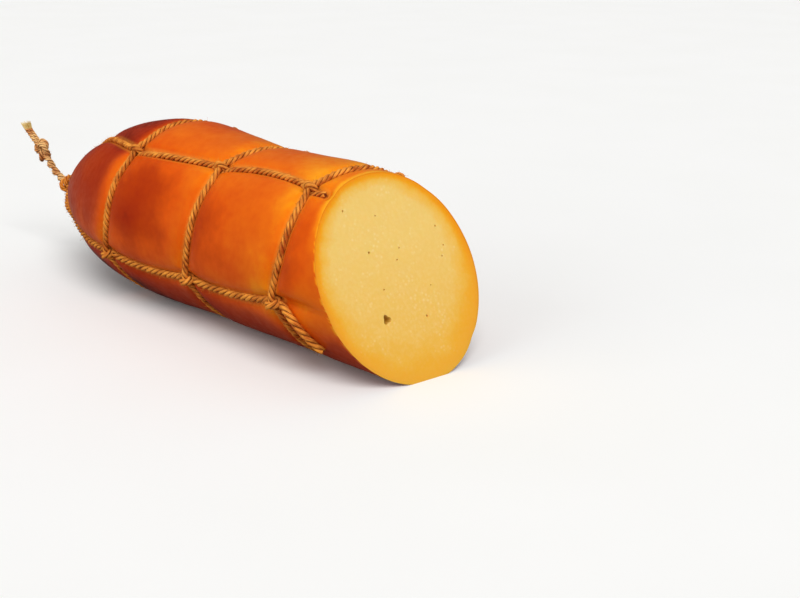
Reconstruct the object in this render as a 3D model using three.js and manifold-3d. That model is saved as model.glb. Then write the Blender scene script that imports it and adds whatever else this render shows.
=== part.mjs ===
// Smoked cheese log, hung and tied in a twine net, with its front end cut off.
// Millimetres. +Z is up, the log lies on z = 0 and +X runs from the tied end
// to the cut face. Angles go round the log from +Y (0) over the top (90).

import * as THREE from 'three';
import Module from 'manifold-3d';
import { mergeVertices } from 'three/addons/utils/BufferGeometryUtils.js';

// ---------------------------------------------------------------- dimensions

// Cheese body
const POLE_X = -294;        // where the strands meet, in front of the crown knot
const TIP_X = -277;         // the cheese's own tip, rounder than the strands' cone
const CAP_X = -243;         // where it starts to draw back from that cone
const CAP_POWER = 2.2;      // how late it draws back
const CAP_ROUND = 0.6;      // and how blunt it ends
const SHOULDER_X = -97;     // where the body starts to round off towards the tip
const DOME_POWER = 2.75;    // roundness of the shoulder
const DOME_TAPER = 1.15;    // above 1 the body narrows faster near the tip
const POLE_Y = -5.5;        // the tip hangs a little to one side
const POLE_Z = 57.5;
const MIDDLE_Y_POWER = 2;   // how late the middle line turns aside to the tip
const MIDDLE_Z_POWER = 1.5; // and how late it turns down to it
const CUT_X = 99;           // middle of the cut face
const CUT_LEAN_Y = 0.055;   // slope of the cut face along Y
const CUT_LEAN_Z = -0.44;   // slope of the cut face along Z: the top is cut back

// Twine net
const TWINE_R = 2;          // twine radius
const TWINE_GAP = 0.35;     // air between twine and cheese
const TWINE_LIFT = 0.3;     // air between twine and table
const TWINE_DEPTH = 2.4;    // how far the twine's middle sits below the skin
const CROSS_LIFT = 2.2;     // a hoop rises this much over a strand
const CROSS_DIP = 2.3;      // and the strand sinks this much under the hoop
const CROSS_LENGTH = 7;     // half length of that rise and dip
const GROOVE_FLOOR = 2.4;   // half width of the groove's floor
const GROOVE_FADE = 4.5;    // how quickly the skin swells up again beside it
const FREE_R = 24;          // on the tip, below this radius, the twine lies on the skin
const SUNK_R = 45;          // above this radius it is fully sunk in

// One entry per hoop and one for the cut face: position along the log, slopes,
// radius of the body, height of its middle line, and how far each strand in
// turn pulls the hoop along the log.
const SECTIONS = [
  { x: -138, leanY: 0.01, leanZ: 0.12, r: 68.0, mid: 64.5, pull: [2, 4, -7, -4] },
  { x: -41.3, leanY: 0.03, leanZ: 0.07, r: 63.0, mid: 61.2, pull: [-2, -1.5, -5.5, -4] },
  { x: 54.8, leanY: 0, leanZ: 0.03, r: 63.3, mid: 61.6, pull: [-2, -3, -7, -4] },
  { x: CUT_X, leanY: CUT_LEAN_Y, leanZ: CUT_LEAN_Z, r: 62.0, mid: 60.3 },
];
const HOOPS = ['hoop_rear', 'hoop_middle', 'hoop_front'];
const PULL_LENGTH = 20;     // the pull fades out over this length of hoop
const PULL_REACH = 26;      // and over this length of skin beside the hoop

// Lengthwise strands: the angle at the tip, at each hoop and at the cut, how
// far the strand bows aside in each stretch between them, where it ends, how
// much it rises there, and how deep its crease still is at the cut face.
const STRANDS = [
  {
    name: 'strand_far_upper',
    angle: [50, 50, 52, 49, 50], bow: [2, 2, -2, 0], endX: 82, rise: 1.0, crease: 0.8,
  },
  {
    name: 'strand_near_upper',
    angle: [98, 129.5, 121, 121.5, 122], bow: [-4, 0.5, -5, 0], endX: 82, rise: 1.0, crease: 0.8,
  },
  {
    name: 'strand_near_lower',
    angle: [196, 202, 199.5, 193.5, 191], bow: [4, 4.5, 4.5, 0], endX: 53, rise: 0, crease: 1.4,
  },
  {
    name: 'strand_far_lower',
    angle: [310, 312, 316, 314, 315], bow: [-2, -3, 2, 0], endX: 88, rise: 1.6, crease: 1.4,
  },
];
const RISE_LENGTH = 14;     // length over which a strand rises at its end

// Loose end of the near lower strand, lying on the skin in front of the front
// hoop: position along the log, angle and depth below the bare skin.
const LOOSE_END = [
  [57, 193.8, 1.0], [61, 195.5, -1.8], [65, 199.5, -2.4],
  [68, 205.5, -2.4], [71.5, 212, -2.4], [75, 218, -2.4],
];

// Crown knot and the tail it leaves
const CROWN = [-299, -6, 58];
const TAIL_START = [-307, -6.5, 60.5];
const TAIL_BEND = [-318, -7, 66.5];
const TAIL_KNOT = [-336.5, -7, 81.5];
const TAIL_TIP = [-358.5, -7, 96.5];
const TAIL_CORD_R = 3.3;    // the twisted pair of twines as one round cord
const TAIL_TWINE_R = 1.6;   // one of its twines, drawn thinner than in the net
const END_GAP = 0.25;       // half the gap between the two ends past the knot
const END_BULGE = 0.35;     // how much further apart they are halfway
const KNOT_BIG_R = 4.1;     // big and small radius of the crown knot's winding
const KNOT_SMALL_R = 2.0;
const KNOT_TWINE_R = 1.65;
const TAIL_KNOT_SIZE = 1.13; // size of the tail's knot, its twines being doubled
const KNOT_REACH = 10.4;    // cords stop this far from the tail knot's middle

// Frayed brush at each end: radius and length of its outline, the direction
// that it points in, how far it leans aside, and the gaps to the twine and
// between the two.
const TUFT_PROFILE = [
  [0, 0], [1.55, 0], [1.7, 1.7], [1.9, 3.7], [2.2, 5.7], [2.35, 7], [1.6, 7.9], [0, 8.2],
];
const TUFT_DIRECTION = [-0.62, 0, 0.78];
const TUFT_LEAN = 0.1;
const TUFT_GAP = 0.9;
const TUFT_APART = 0.3;

// Eyes in the cut face: Y, Z and radius of each hollow
const EYES = [
  { y: -18.8, z: 38.9, r: 2.7 },
  { y: -17.9, z: 77.7, r: 1.0 },
  { y: 12.3, z: 35.3, r: 0.9 },
];

// Mesh steps
const TWINE_SIDES = 8;
const ROWS_BESIDE_TWINE = [2.5, 3.6, 8, 16];   // mm from a twine's middle
const TWINE_MARGIN = 16;    // rows between two hoops keep this far from both
const FILL_ROWS = 4;        // steps between them
const DOME_ROWS = 11;
const DOME_CROWDING = 0.65; // above 0 the dome's rows stand closer near the tip
const TIP_ROWS = [0.7, 5.5]; // mm from the cheese's tip, before the dome's rows
const DOME_FROM = 8;        // mm from it where the dome's rows begin
const COLUMN_LIMITS = [0.06, 0.085, 0.15, 0.27]; // at most these shares of a gap between strands
const FILL_COLUMNS = [3, 2, 5, 4];  // columns in the middle of each gap
const KNOT_STEPS = 42;

// ------------------------------------------------------------------- helpers

const RAD = Math.PI / 180;
const lerp = (a, b, t) => a + (b - a) * t;
const clamp = (v, lo, hi) => Math.min(hi, Math.max(lo, v));
const smooth = (t) => { const s = clamp(t, 0, 1); return s * s * (3 - 2 * s); };
const halfSmooth = (t) => (t + smooth(t)) / 2;
const vec = (p) => new THREE.Vector3(p[0], p[1], p[2]);

// Value of one SECTIONS key at x, eased between entries.
function sectionValue(key, x, ease = halfSmooth) {
  if (x <= SECTIONS[0].x) return SECTIONS[0][key];
  for (let i = 1; i < SECTIONS.length; i++) {
    const a = SECTIONS[i - 1], b = SECTIONS[i];
    if (x <= b.x) return lerp(a[key], b[key], ease((x - a.x) / (b.x - a.x)));
  }
  return SECTIONS[SECTIONS.length - 1][key];
}

// Share of the way from the rear hoop to the tip, 0 in front of the hoop.
const towardsTip = (x) => clamp((SECTIONS[0].x - x) / (SECTIONS[0].x - POLE_X), 0, 1);

function bodyRadius(x) {
  const t = clamp((SHOULDER_X - x) / (SHOULDER_X - POLE_X), 0, 1);
  return sectionValue('r', x) * Math.pow(1 - Math.pow(t, DOME_POWER), DOME_TAPER);
}

// Share of that radius that the cheese itself fills, rounding its tip off.
const cap = (x) => (1 - clamp((CAP_X - x) / (CAP_X - TIP_X), 0, 1) ** CAP_POWER) ** CAP_ROUND;

const middleY = (x) => POLE_Y * towardsTip(x) ** MIDDLE_Y_POWER;
const middleZ = (x) => lerp(sectionValue('mid', x), POLE_Z, towardsTip(x) ** MIDDLE_Z_POWER);
const lean = (key, x) => sectionValue(key, x, (t) => t) * (1 - smooth(towardsTip(x)));

// Direction of the bare skin's outward normal at (x, angle).
function skinNormal(x, angle) {
  const step = 0.05;
  const slope = (bodyRadius(x + step) - bodyRadius(x - step)) / (2 * step);
  return new THREE.Vector3(-slope, Math.cos(angle), Math.sin(angle)).normalize();
}

// Point `depth` below the bare skin, on the leaning section at x.
function pointBelowSkin(x, angle, depth, floor = 0) {
  const r = bodyRadius(x), n = skinNormal(x, angle);
  const y = r * Math.cos(angle) - depth * n.y;
  const z = Math.max(r * Math.sin(angle) - depth * n.z, floor - middleZ(x));
  const along = x - depth * n.x + lean('leanY', x) * y + lean('leanZ', x) * z;
  return new THREE.Vector3(along, middleY(x) + y, middleZ(x) + z);
}

// Angle of strand k at x, in radians.
function strandAngle(k, x) {
  const stops = [POLE_X, ...SECTIONS.map((s) => s.x)];
  const { angle, bow } = STRANDS[k];
  let i = 1;
  while (i < stops.length - 1 && x > stops[i]) i++;
  const t = clamp((x - stops[i - 1]) / (stops[i] - stops[i - 1]), 0, 1);
  return RAD * (lerp(angle[i - 1], angle[i], smooth(t)) + bow[i - 1] * 4 * t * (1 - t));
}

// Distance round the log from strand k.
function distanceToStrand(k, x, angle) {
  let turn = angle - strandAngle(k, x);
  turn -= 2 * Math.PI * Math.round(turn / (2 * Math.PI));
  return turn * bodyRadius(x);
}

// How far hoop h is pulled along the log at this angle.
function hoopShift(h, angle) {
  const { x, pull } = SECTIONS[h];
  return pull.reduce((sum, p, k) => (
    sum + p * Math.exp(-((distanceToStrand(k, x, angle) / PULL_LENGTH) ** 2))), 0);
}

// How far the skin itself goes along with the hoops near it.
function rowShift(x, angle) {
  return HOOPS.reduce((sum, _, h) => {
    const t = (x - SECTIONS[h].x) / PULL_REACH;
    return Math.abs(t) < 1 ? sum + hoopShift(h, angle) * (1 - t * t) ** 2 : sum;
  }, 0);
}

// Distance along the log from hoop h, measured at this angle.
function distanceToHoop(h, x, angle) {
  const s = SECTIONS[h], r = bodyRadius(x);
  return x - s.x - hoopShift(h, angle) + (lean('leanY', x) - s.leanY) * r * Math.cos(angle)
    + (lean('leanZ', x) - s.leanZ) * r * Math.sin(angle);
}

const bump = (d) => Math.exp(-((d / CROSS_LENGTH) ** 2));
const groove = (d) => Math.exp(-Math.max(0, Math.abs(d) - GROOVE_FLOOR) / GROOVE_FADE);

// Depth of hoop h's middle below the bare skin.
function hoopDepth(h, angle) {
  const s = SECTIONS[h];
  let depth = TWINE_DEPTH;
  for (let k = 0; k < STRANDS.length; k++) {
    depth -= CROSS_LIFT * bump(distanceToStrand(k, s.x, angle));
  }
  // underneath, the twine is pressed up into the cheese by the table
  const up = -Math.sin(angle);
  if (up > 0.5) {
    const bare = middleZ(s.x) - bodyRadius(s.x) * up;
    depth = Math.max(depth, (TWINE_R + TWINE_LIFT - bare) / up);
  }
  return depth;
}

// Share of full sinking: 1 on the body, 0 on the tip.
const sunk = (x) => smooth((bodyRadius(x) - FREE_R) / (SUNK_R - FREE_R));

// Depth of strand k's middle below the bare skin.
function strandDepth(k, x) {
  let depth = lerp(-(TWINE_R + TWINE_GAP), TWINE_DEPTH, sunk(x));
  for (let h = 0; h < HOOPS.length; h++) {
    depth += CROSS_DIP * bump(distanceToHoop(h, x, strandAngle(k, x)));
  }
  const { endX, rise } = STRANDS[k];
  return depth - rise * smooth((x - endX + RISE_LENGTH) / RISE_LENGTH);
}

// Depth of the floor under strand k; past its end a crease runs on to the cut.
function strandFloor(k, x) {
  const { endX, crease } = STRANDS[k];
  const floor = Math.max(0, strandDepth(k, Math.min(x, endX)) + TWINE_R + TWINE_GAP);
  return lerp(floor, crease, smooth((x - endX) / (CUT_X - endX)));
}

// Depth of the cheese's own surface below the bare skin.
function surfaceDepth(x, angle) {
  let sum = 0;
  const add = (floor, d) => { sum += (floor * groove(d)) ** 4; };
  for (let h = 0; h < HOOPS.length; h++) {
    add(hoopDepth(h, angle) + TWINE_R + TWINE_GAP, distanceToHoop(h, x, angle));
  }
  for (let k = 0; k < STRANDS.length; k++) add(strandFloor(k, x), distanceToStrand(k, x, angle));
  return sum ** 0.25;
}

// Closed tube of `sides` flats along points; both ends capped unless it is a loop.
function sweep(points, radius, sides, loop = false) {
  const n = points.length;
  const at = (i) => points[loop ? (i + n) % n : clamp(i, 0, n - 1)];
  const tangents = points.map((p, i) => at(i + 1).clone().sub(at(i - 1)).normalize());
  const normals = [new THREE.Vector3(0, 0, 1).cross(tangents[0])];
  if (normals[0].length() < 0.1) normals[0].set(0, 1, 0).cross(tangents[0]);
  normals[0].normalize();
  for (let i = 1; i < n; i++) {
    const turn = new THREE.Quaternion().setFromUnitVectors(tangents[i - 1], tangents[i]);
    const next = normals[i - 1].clone().applyQuaternion(turn);
    normals.push(next.addScaledVector(tangents[i], -next.dot(tangents[i])).normalize());
  }
  let twist = 0;
  if (loop) {
    const turn = new THREE.Quaternion().setFromUnitVectors(tangents[n - 1], tangents[0]);
    const end = normals[n - 1].clone().applyQuaternion(turn);
    twist = Math.atan2(end.clone().cross(normals[0]).dot(tangents[0]), end.dot(normals[0]));
  }
  const position = [], index = [];
  for (let i = 0; i < n; i++) {
    const binormal = tangents[i].clone().cross(normals[i]);
    for (let j = 0; j < sides; j++) {
      const a = 2 * Math.PI * j / sides + twist * i / n;
      const p = points[i].clone()
        .addScaledVector(normals[i], radius * Math.cos(a))
        .addScaledVector(binormal, radius * Math.sin(a));
      position.push(p.x, p.y, p.z);
    }
  }
  for (let i = 0; i < (loop ? n : n - 1); i++) {
    for (let j = 0; j < sides; j++) {
      const a = i * sides + j, b = i * sides + (j + 1) % sides;
      const c = ((i + 1) % n) * sides + j, d = ((i + 1) % n) * sides + (j + 1) % sides;
      index.push(a, b, d, a, d, c);
    }
  }
  if (!loop) {
    for (let j = 1; j < sides - 1; j++) {
      const e = (n - 1) * sides;
      index.push(0, j + 1, j, e, e + j, e + j + 1);
    }
  }
  return indexed(position, index);
}

function indexed(position, index) {
  const geometry = new THREE.BufferGeometry();
  geometry.setAttribute('position', new THREE.Float32BufferAttribute(position, 3));
  geometry.setIndex(index);
  return geometry;
}

function solidNode(name, geometry, material) {
  geometry.computeVertexNormals();
  const mesh = new THREE.Mesh(geometry, material);
  mesh.name = name;
  return mesh;
}

// -------------------------------------------------------------------- cheese

// Row positions along the log, from just in front of the tip to the cut.
function rowStations() {
  const rows = [];
  const rear = SECTIONS[0].x - TWINE_MARGIN;
  for (let i = 1; i < DOME_ROWS; i++) {
    const t = i / DOME_ROWS;
    rows.push(lerp(POLE_X, rear, t * (1 - DOME_CROWDING + DOME_CROWDING * t)));
  }
  SECTIONS.slice(0, 3).forEach((s, h) => {
    rows.push(...ROWS_BESIDE_TWINE.map((d) => s.x - d).reverse(), s.x);
    if (h < 2) {
      rows.push(...ROWS_BESIDE_TWINE.map((d) => s.x + d));
      const from = s.x + TWINE_MARGIN, to = SECTIONS[h + 1].x - TWINE_MARGIN;
      for (let i = 1; i < FILL_ROWS; i++) rows.push(lerp(from, to, i / FILL_ROWS));
    } else {
      const beside = ROWS_BESIDE_TWINE.slice(0, 3);
      rows.push(...beside.map((d) => s.x + d));
      const from = s.x + beside[beside.length - 1];
      for (let i = 1; i <= FILL_ROWS; i++) rows.push(lerp(from, CUT_X, i / FILL_ROWS));
    }
  });
  return rows;
}

// Column angles at x: close together beside each strand, even in between.
function columnAngles(x) {
  const angles = [];
  for (let k = 0; k < STRANDS.length; k++) {
    const from = strandAngle(k, x);
    let to = strandAngle((k + 1) % STRANDS.length, x);
    if (to < from) to += 2 * Math.PI;
    const gap = to - from;
    const near = ROWS_BESIDE_TWINE.map((d, i) => Math.min(d / bodyRadius(x), COLUMN_LIMITS[i] * gap));
    const last = near[near.length - 1];
    angles.push(from, ...near.map((a) => from + a));
    for (let i = 1; i <= FILL_COLUMNS[k]; i++) {
      angles.push(from + lerp(last, gap - last, i / (FILL_COLUMNS[k] + 1)));
    }
    angles.push(...near.map((a) => to - a).reverse());
  }
  return angles;
}

function cheeseGeometry() {
  const rows = TIP_ROWS.map((d) => TIP_X + d);
  rows.push(...rowStations().filter((x) => x > TIP_X + DOME_FROM));
  const columns = columnAngles(CUT_X).length;
  const position = [], index = [];
  for (const x of rows) {
    for (const angle of columnAngles(x)) {
      const moved = x + rowShift(x, angle);
      const p = pointBelowSkin(moved, angle, surfaceDepth(moved, angle));
      position.push(p.x, lerp(middleY(x), p.y, cap(x)), lerp(middleZ(x), p.z, cap(x)));
    }
  }
  position.push(TIP_X, middleY(TIP_X), middleZ(TIP_X));
  position.push(CUT_X, middleY(CUT_X), middleZ(CUT_X));
  const tipIndex = rows.length * columns, faceIndex = tipIndex + 1;
  const last = (rows.length - 1) * columns;
  for (let j = 0; j < columns; j++) {
    const k = (j + 1) % columns;
    index.push(tipIndex, k, j, faceIndex, last + j, last + k);
    for (let i = 0; i < rows.length - 1; i++) {
      const a = i * columns + j, b = i * columns + k;
      const c = a + columns, d = b + columns;
      index.push(a, b, d, a, d, c);
    }
  }
  return indexed(position, index);
}

// Middle of an eye: on the cut face, a little outside it so the hollow is shallow.
function eyeGeometry(eye) {
  const geometry = new THREE.SphereGeometry(eye.r, 14, 9);
  const z = eye.z - middleZ(CUT_X);
  const x = CUT_X + CUT_LEAN_Y * eye.y + CUT_LEAN_Z * z;
  geometry.translate(x + 0.15 * eye.r, eye.y, eye.z);
  return geometry;
}

const wasm = await Module();
wasm.setup();

function toManifold(geometry) {
  const bare = geometry.clone();
  bare.deleteAttribute('normal');
  bare.deleteAttribute('uv');
  const merged = mergeVertices(bare, 1e-4);
  return new wasm.Manifold(new wasm.Mesh({
    numProp: 3,
    vertProperties: new Float32Array(merged.attributes.position.array),
    triVerts: new Uint32Array(merged.index.array),
  }));
}

function fromManifold(solid) {
  const mesh = solid.getMesh();
  return indexed(Array.from(mesh.vertProperties), Array.from(mesh.triVerts));
}

// --------------------------------------------------------------------- twine

function hoopPoints(h) {
  const x = SECTIONS[h].x;
  return columnAngles(x).map((angle) => (
    pointBelowSkin(x + hoopShift(h, angle), angle, hoopDepth(h, angle), TWINE_R + TWINE_LIFT)));
}

function strandPoints(k) {
  const strand = STRANDS[k];
  const rows = rowStations().map((x) => x + rowShift(x, strandAngle(k, x)))
    .filter((x) => x < strand.endX - 2);
  rows.push(strand.endX);
  const points = rows.map((x) => (
    pointBelowSkin(x, strandAngle(k, x), strandDepth(k, x), TWINE_R + TWINE_LIFT)));
  if (strand.name === 'strand_near_lower') {
    points.push(...LOOSE_END.map(([x, angle, depth]) => pointBelowSkin(x, angle * RAD, depth)));
  }
  // the strand stops where it reaches the crown knot
  const reach = KNOT_BIG_R + KNOT_SMALL_R + KNOT_TWINE_R + TWINE_R;
  return points.filter((p) => p.distanceTo(vec(CROWN)) > reach);
}

// Overhand knot: one closed winding round `axis` that passes through itself,
// stretched by `stretch` along `side`.
function knotPoints(centre, axis, side, stretch, size, steps) {
  const w = vec(axis).normalize();
  const u = vec(side).addScaledVector(w, -vec(side).dot(w)).normalize();
  const v = w.clone().cross(u);
  const points = [];
  for (let i = 0; i < steps; i++) {
    const t = 2 * Math.PI * i / steps;
    const ring = size * (KNOT_BIG_R + KNOT_SMALL_R * Math.cos(3 * t));
    points.push(vec(centre)
      .addScaledVector(u, stretch * ring * Math.cos(2 * t))
      .addScaledVector(v, ring * Math.sin(2 * t))
      .addScaledVector(w, size * KNOT_SMALL_R * Math.sin(3 * t)));
  }
  return points;
}

// Plain round cord along a curve.
function cordGeometry(curve, radius, sides, steps) {
  const section = new THREE.Shape();
  for (let i = 0; i < sides; i++) {
    const a = 2 * Math.PI * i / sides;
    if (i === 0) section.moveTo(radius, 0);
    else section.lineTo(radius * Math.cos(a), radius * Math.sin(a));
  }
  return new THREE.ExtrudeGeometry(section, { steps, extrudePath: curve, bevelEnabled: false });
}

// The twisted pair from the crown to just short of the knot.
function tailCordCurve() {
  const knot = vec(TAIL_KNOT), bend = vec(TAIL_BEND);
  const end = knot.clone().add(bend.clone().sub(knot).setLength(KNOT_REACH));
  return new THREE.CatmullRomCurve3([vec(TAIL_START), bend, end]);
}

// One of the two loose ends past the knot, side by side.
function tailEndCurve(side) {
  const knot = vec(TAIL_KNOT), tip = vec(TAIL_TIP);
  const start = knot.clone().add(tip.clone().sub(knot).setLength(KNOT_REACH));
  const middle = start.clone().lerp(tip, 0.5);
  const apart = TAIL_TWINE_R + END_GAP;
  start.y += side * apart;
  middle.y += side * (apart + END_BULGE);
  tip.y += side * apart;
  return new THREE.CatmullRomCurve3([start, middle, tip]);
}

// Frayed brush at the very end, a slim bell round the tail's direction.
function tuftGeometry(side) {
  const geometry = new THREE.LatheGeometry(TUFT_PROFILE.map(([r, z]) => new THREE.Vector2(r, z)), 12);
  const d = vec(TUFT_DIRECTION).setY(side * TUFT_LEAN).normalize();
  const tip = tailEndCurve(side).getPoint(1);
  geometry.applyQuaternion(new THREE.Quaternion().setFromUnitVectors(new THREE.Vector3(0, 1, 0), d));
  geometry.translate(tip.x + TUFT_GAP * d.x, tip.y + side * TUFT_APART, tip.z + TUFT_GAP * d.z);
  geometry.deleteAttribute('normal');
  geometry.deleteAttribute('uv');
  return mergeVertices(geometry, 1e-4);
}

// ------------------------------------------------------------------ assembly

const CHEESE = new THREE.MeshStandardMaterial({ color: 0xc9601b, roughness: 0.45, metalness: 0 });
const TWINE = new THREE.MeshStandardMaterial({ color: 0xb1662a, roughness: 0.85, metalness: 0 });
const TAIL = new THREE.MeshStandardMaterial({ color: 0xc79a5b, roughness: 0.9, metalness: 0 });
const STRAW = new THREE.MeshStandardMaterial({ color: 0xd8c07e, roughness: 0.95, metalness: 0 });

const group = new THREE.Group();
group.name = 'smoked_cheese_log';

let cheese = toManifold(cheeseGeometry());
for (const eye of EYES) cheese = cheese.subtract(toManifold(eyeGeometry(eye)));
group.add(solidNode('cheese', fromManifold(cheese), CHEESE));

HOOPS.forEach((name, h) => {
  group.add(solidNode(name, sweep(hoopPoints(h), TWINE_R, TWINE_SIDES, true), TWINE));
});
STRANDS.forEach((strand, k) => {
  group.add(solidNode(strand.name, sweep(strandPoints(k), TWINE_R, TWINE_SIDES), TWINE));
});

const crown = knotPoints(CROWN, [-1, 0, 0.05], [0, 0.2, 1], 1.05, 1, KNOT_STEPS);
group.add(solidNode('crown_knot', sweep(crown, KNOT_TWINE_R, TWINE_SIDES, true), TWINE));
group.add(solidNode('tail_cord', cordGeometry(tailCordCurve(), TAIL_CORD_R, 10, 8), TAIL));
const knot = knotPoints(TAIL_KNOT, [0.1, 1, 0], [-0.66, 0, 0.75], 1.1, TAIL_KNOT_SIZE, KNOT_STEPS);
group.add(solidNode('tail_knot', sweep(knot, TAIL_KNOT_SIZE * KNOT_TWINE_R, TWINE_SIDES, true), TAIL));
group.add(solidNode('tail_end_1', cordGeometry(tailEndCurve(1), TAIL_TWINE_R, TWINE_SIDES, 4), TAIL));
group.add(solidNode('tail_end_2', cordGeometry(tailEndCurve(-1), TAIL_TWINE_R, TWINE_SIDES, 4), TAIL));
group.add(solidNode('tail_tuft_1', tuftGeometry(1), STRAW));
group.add(solidNode('tail_tuft_2', tuftGeometry(-1), STRAW));

export default group;
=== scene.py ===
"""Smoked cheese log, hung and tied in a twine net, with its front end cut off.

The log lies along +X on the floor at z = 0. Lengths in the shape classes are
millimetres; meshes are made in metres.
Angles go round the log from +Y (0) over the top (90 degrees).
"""

import logging
import math
from dataclasses import dataclass
from enum import Enum
from functools import partial
from typing import Any, Callable, Sequence

import bmesh
import bpy
import numpy as np
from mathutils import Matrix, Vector, geometry, noise


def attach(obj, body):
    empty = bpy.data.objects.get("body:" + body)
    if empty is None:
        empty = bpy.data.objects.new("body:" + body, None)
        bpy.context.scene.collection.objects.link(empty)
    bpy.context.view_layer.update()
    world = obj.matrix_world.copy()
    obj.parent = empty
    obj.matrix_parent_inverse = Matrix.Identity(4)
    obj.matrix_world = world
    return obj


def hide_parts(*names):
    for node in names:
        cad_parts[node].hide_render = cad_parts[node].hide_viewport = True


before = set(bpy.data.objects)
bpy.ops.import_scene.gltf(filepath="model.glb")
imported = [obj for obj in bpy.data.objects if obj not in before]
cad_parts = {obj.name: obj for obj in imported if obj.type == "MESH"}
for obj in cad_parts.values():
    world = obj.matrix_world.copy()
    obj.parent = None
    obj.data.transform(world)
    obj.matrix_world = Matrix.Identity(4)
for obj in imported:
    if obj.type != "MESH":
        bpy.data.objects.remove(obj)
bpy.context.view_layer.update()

logging.basicConfig(level=logging.INFO, format="%(name)s: %(message)s")
LOG = logging.getLogger("cheese_log")

MM = 0.001
ABOVE_FLOOR = 0.1 * MM
NODE_PREFIXES = ("ShaderNode", "GeometryNode", "FunctionNode", "")
Array = np.ndarray


# ------------------------------------------------------------------ helpers


def srgb(hex_value: str, alpha: float = 1.0) -> tuple[float, float, float, float]:
    """Turn an sRGB hex colour into Blender's linear RGBA.

    Args:
        hex_value: six hex digits, with or without a leading '#'.
        alpha: opacity of the result.

    Returns:
        The linear colour with its alpha.
    """
    digits = hex_value.lstrip("#")
    channels = [int(digits[i : i + 2], 16) / 255 for i in (0, 2, 4)]
    linear = [c / 12.92 if c <= 0.04045 else ((c + 0.055) / 1.055) ** 2.4 for c in channels]
    return (*linear, alpha)


def add_node(
    tree: bpy.types.NodeTree,
    kind: str,
    inputs: dict[str, Any] | Sequence[Any] = (),
    stops: Sequence[tuple[float, str]] = (),
    **settings: Any,
) -> bpy.types.Node:
    """Add one node with its settings, values and links.

    Args:
        tree: node tree that gets the node.
        kind: the node's type identifier, which may leave out its prefix.
        inputs: what goes into the inputs that the node shows, by name or in
            order: a value, an output socket, or a node whose first shown
            output is linked.
        stops: position and sRGB hex colour of each stop of a colour ramp.
        **settings: properties of the node itself.

    Returns:
        The new node.
    """
    node = tree.nodes.new(next(p + kind for p in NODE_PREFIXES if hasattr(bpy.types, p + kind)))
    for name, value in settings.items():
        setattr(node, name, value)
    for i, (position, colour) in enumerate(stops):
        elements = node.color_ramp.elements
        stop = elements[i] if i < 2 else elements.new(position)
        stop.position, stop.color = position, srgb(colour)
    for key, value in inputs.items() if isinstance(inputs, dict) else enumerate(inputs):
        shown = [socket for socket in node.inputs if socket.enabled]
        socket = shown[key] if isinstance(key, int) else next(s for s in shown if s.name == key)
        if isinstance(value, bpy.types.Node):
            value = next(s for s in value.outputs if s.enabled)
        if isinstance(value, bpy.types.NodeSocket):
            tree.links.new(value, socket)
        else:
            socket.default_value = value
    return node


def smooth(t: Array) -> Array:
    """Ease from 0 to 1 with flat ends, for numbers or arrays."""
    s = np.clip(t, 0.0, 1.0)
    return s * s * (3 - 2 * s)


def half_smooth(t: Array) -> Array:
    """Ease from 0 to 1 halfway between straight and smooth."""
    return (np.clip(t, 0.0, 1.0) + smooth(t)) / 2


def ramp(value: Array, start: Array, stop: Array) -> Array:
    """Ease from 0 where a value is at its start to 1 where it is at its stop."""
    return smooth((value - start) / (stop - start))


def noise_field(points: Array, size: float, seed: float = 0.0) -> Array:
    """Smooth random values at points.

    Args:
        points: N x 3 positions in millimetres.
        size: size of the noise's features in millimetres.
        seed: offset that gives another pattern.

    Returns:
        N values of about -1 to 1.
    """
    shift = Vector((seed, seed * 0.37, -seed * 0.71))
    return np.array([noise.noise(Vector(p) / size + shift) for p in points])


def mesh_object(
    name: str,
    points: Array,
    faces: Sequence[Sequence[int]],
    materials: Sequence[bpy.types.Material],
) -> bpy.types.Object:
    """Make a smooth-shaded mesh object from points in millimetres.

    Args:
        name: name of the object and its mesh.
        points: N x 3 positions in millimetres.
        faces: corner indices of each face.
        materials: material slots in order.

    Returns:
        The linked object.
    """
    mesh = bpy.data.meshes.new(name)
    mesh.from_pydata((np.asarray(points) * MM).tolist(), [], [list(f) for f in faces])
    mesh.validate()
    mesh.shade_smooth()
    for material in materials:
        mesh.materials.append(material)
    made = bpy.data.objects.new(name, mesh)
    bpy.context.scene.collection.objects.link(made)
    return made


def store_floats(mesh: bpy.types.Mesh, name: str, values: Array) -> None:
    """Store one number per vertex as a named attribute.

    Args:
        mesh: mesh that gets the attribute.
        name: attribute name that the materials read.
        values: one value per vertex.
    """
    layer = mesh.attributes.new(name, "FLOAT", "POINT")
    layer.data.foreach_set("value", np.asarray(values, dtype=np.float32))


# -------------------------------------------------------------------- shape


class Strand(Enum):
    """Lengthwise strands of the net, in order round the log."""

    FAR_UPPER = 0
    NEAR_UPPER = 1
    NEAR_LOWER = 2
    FAR_LOWER = 3


class Hoop(Enum):
    """Twine hoops, from the tied end to the cut."""

    REAR = 0
    MIDDLE = 1
    FRONT = 2


@dataclass(frozen=True)
class Section:
    """The log's outline at one place along it.

    Attributes:
        x: position along the log.
        lean_y: slope of the section's plane along Y.
        lean_z: slope of the section's plane along Z.
        radius: body radius, before the tip rounds off.
        middle: height of the body's middle line.
        pull: how far each strand in turn pulls the hoop along the log.
    """

    x: float
    lean_y: float
    lean_z: float
    radius: float
    middle: float
    pull: tuple[float, ...] = (0, 0, 0, 0)


@dataclass(frozen=True)
class StrandRoute:
    """Route of one lengthwise strand.

    Attributes:
        angles: degrees at the tip, at each hoop and at the cut.
        bow: degrees that it bows aside in each stretch between them.
        end_x: position where it ends.
        rise: how much it rises out of its groove towards that end.
        crease: depth that its groove still has at the cut face.
    """

    angles: tuple[float, ...]
    bow: tuple[float, ...]
    end_x: float
    rise: float
    crease: float


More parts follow.
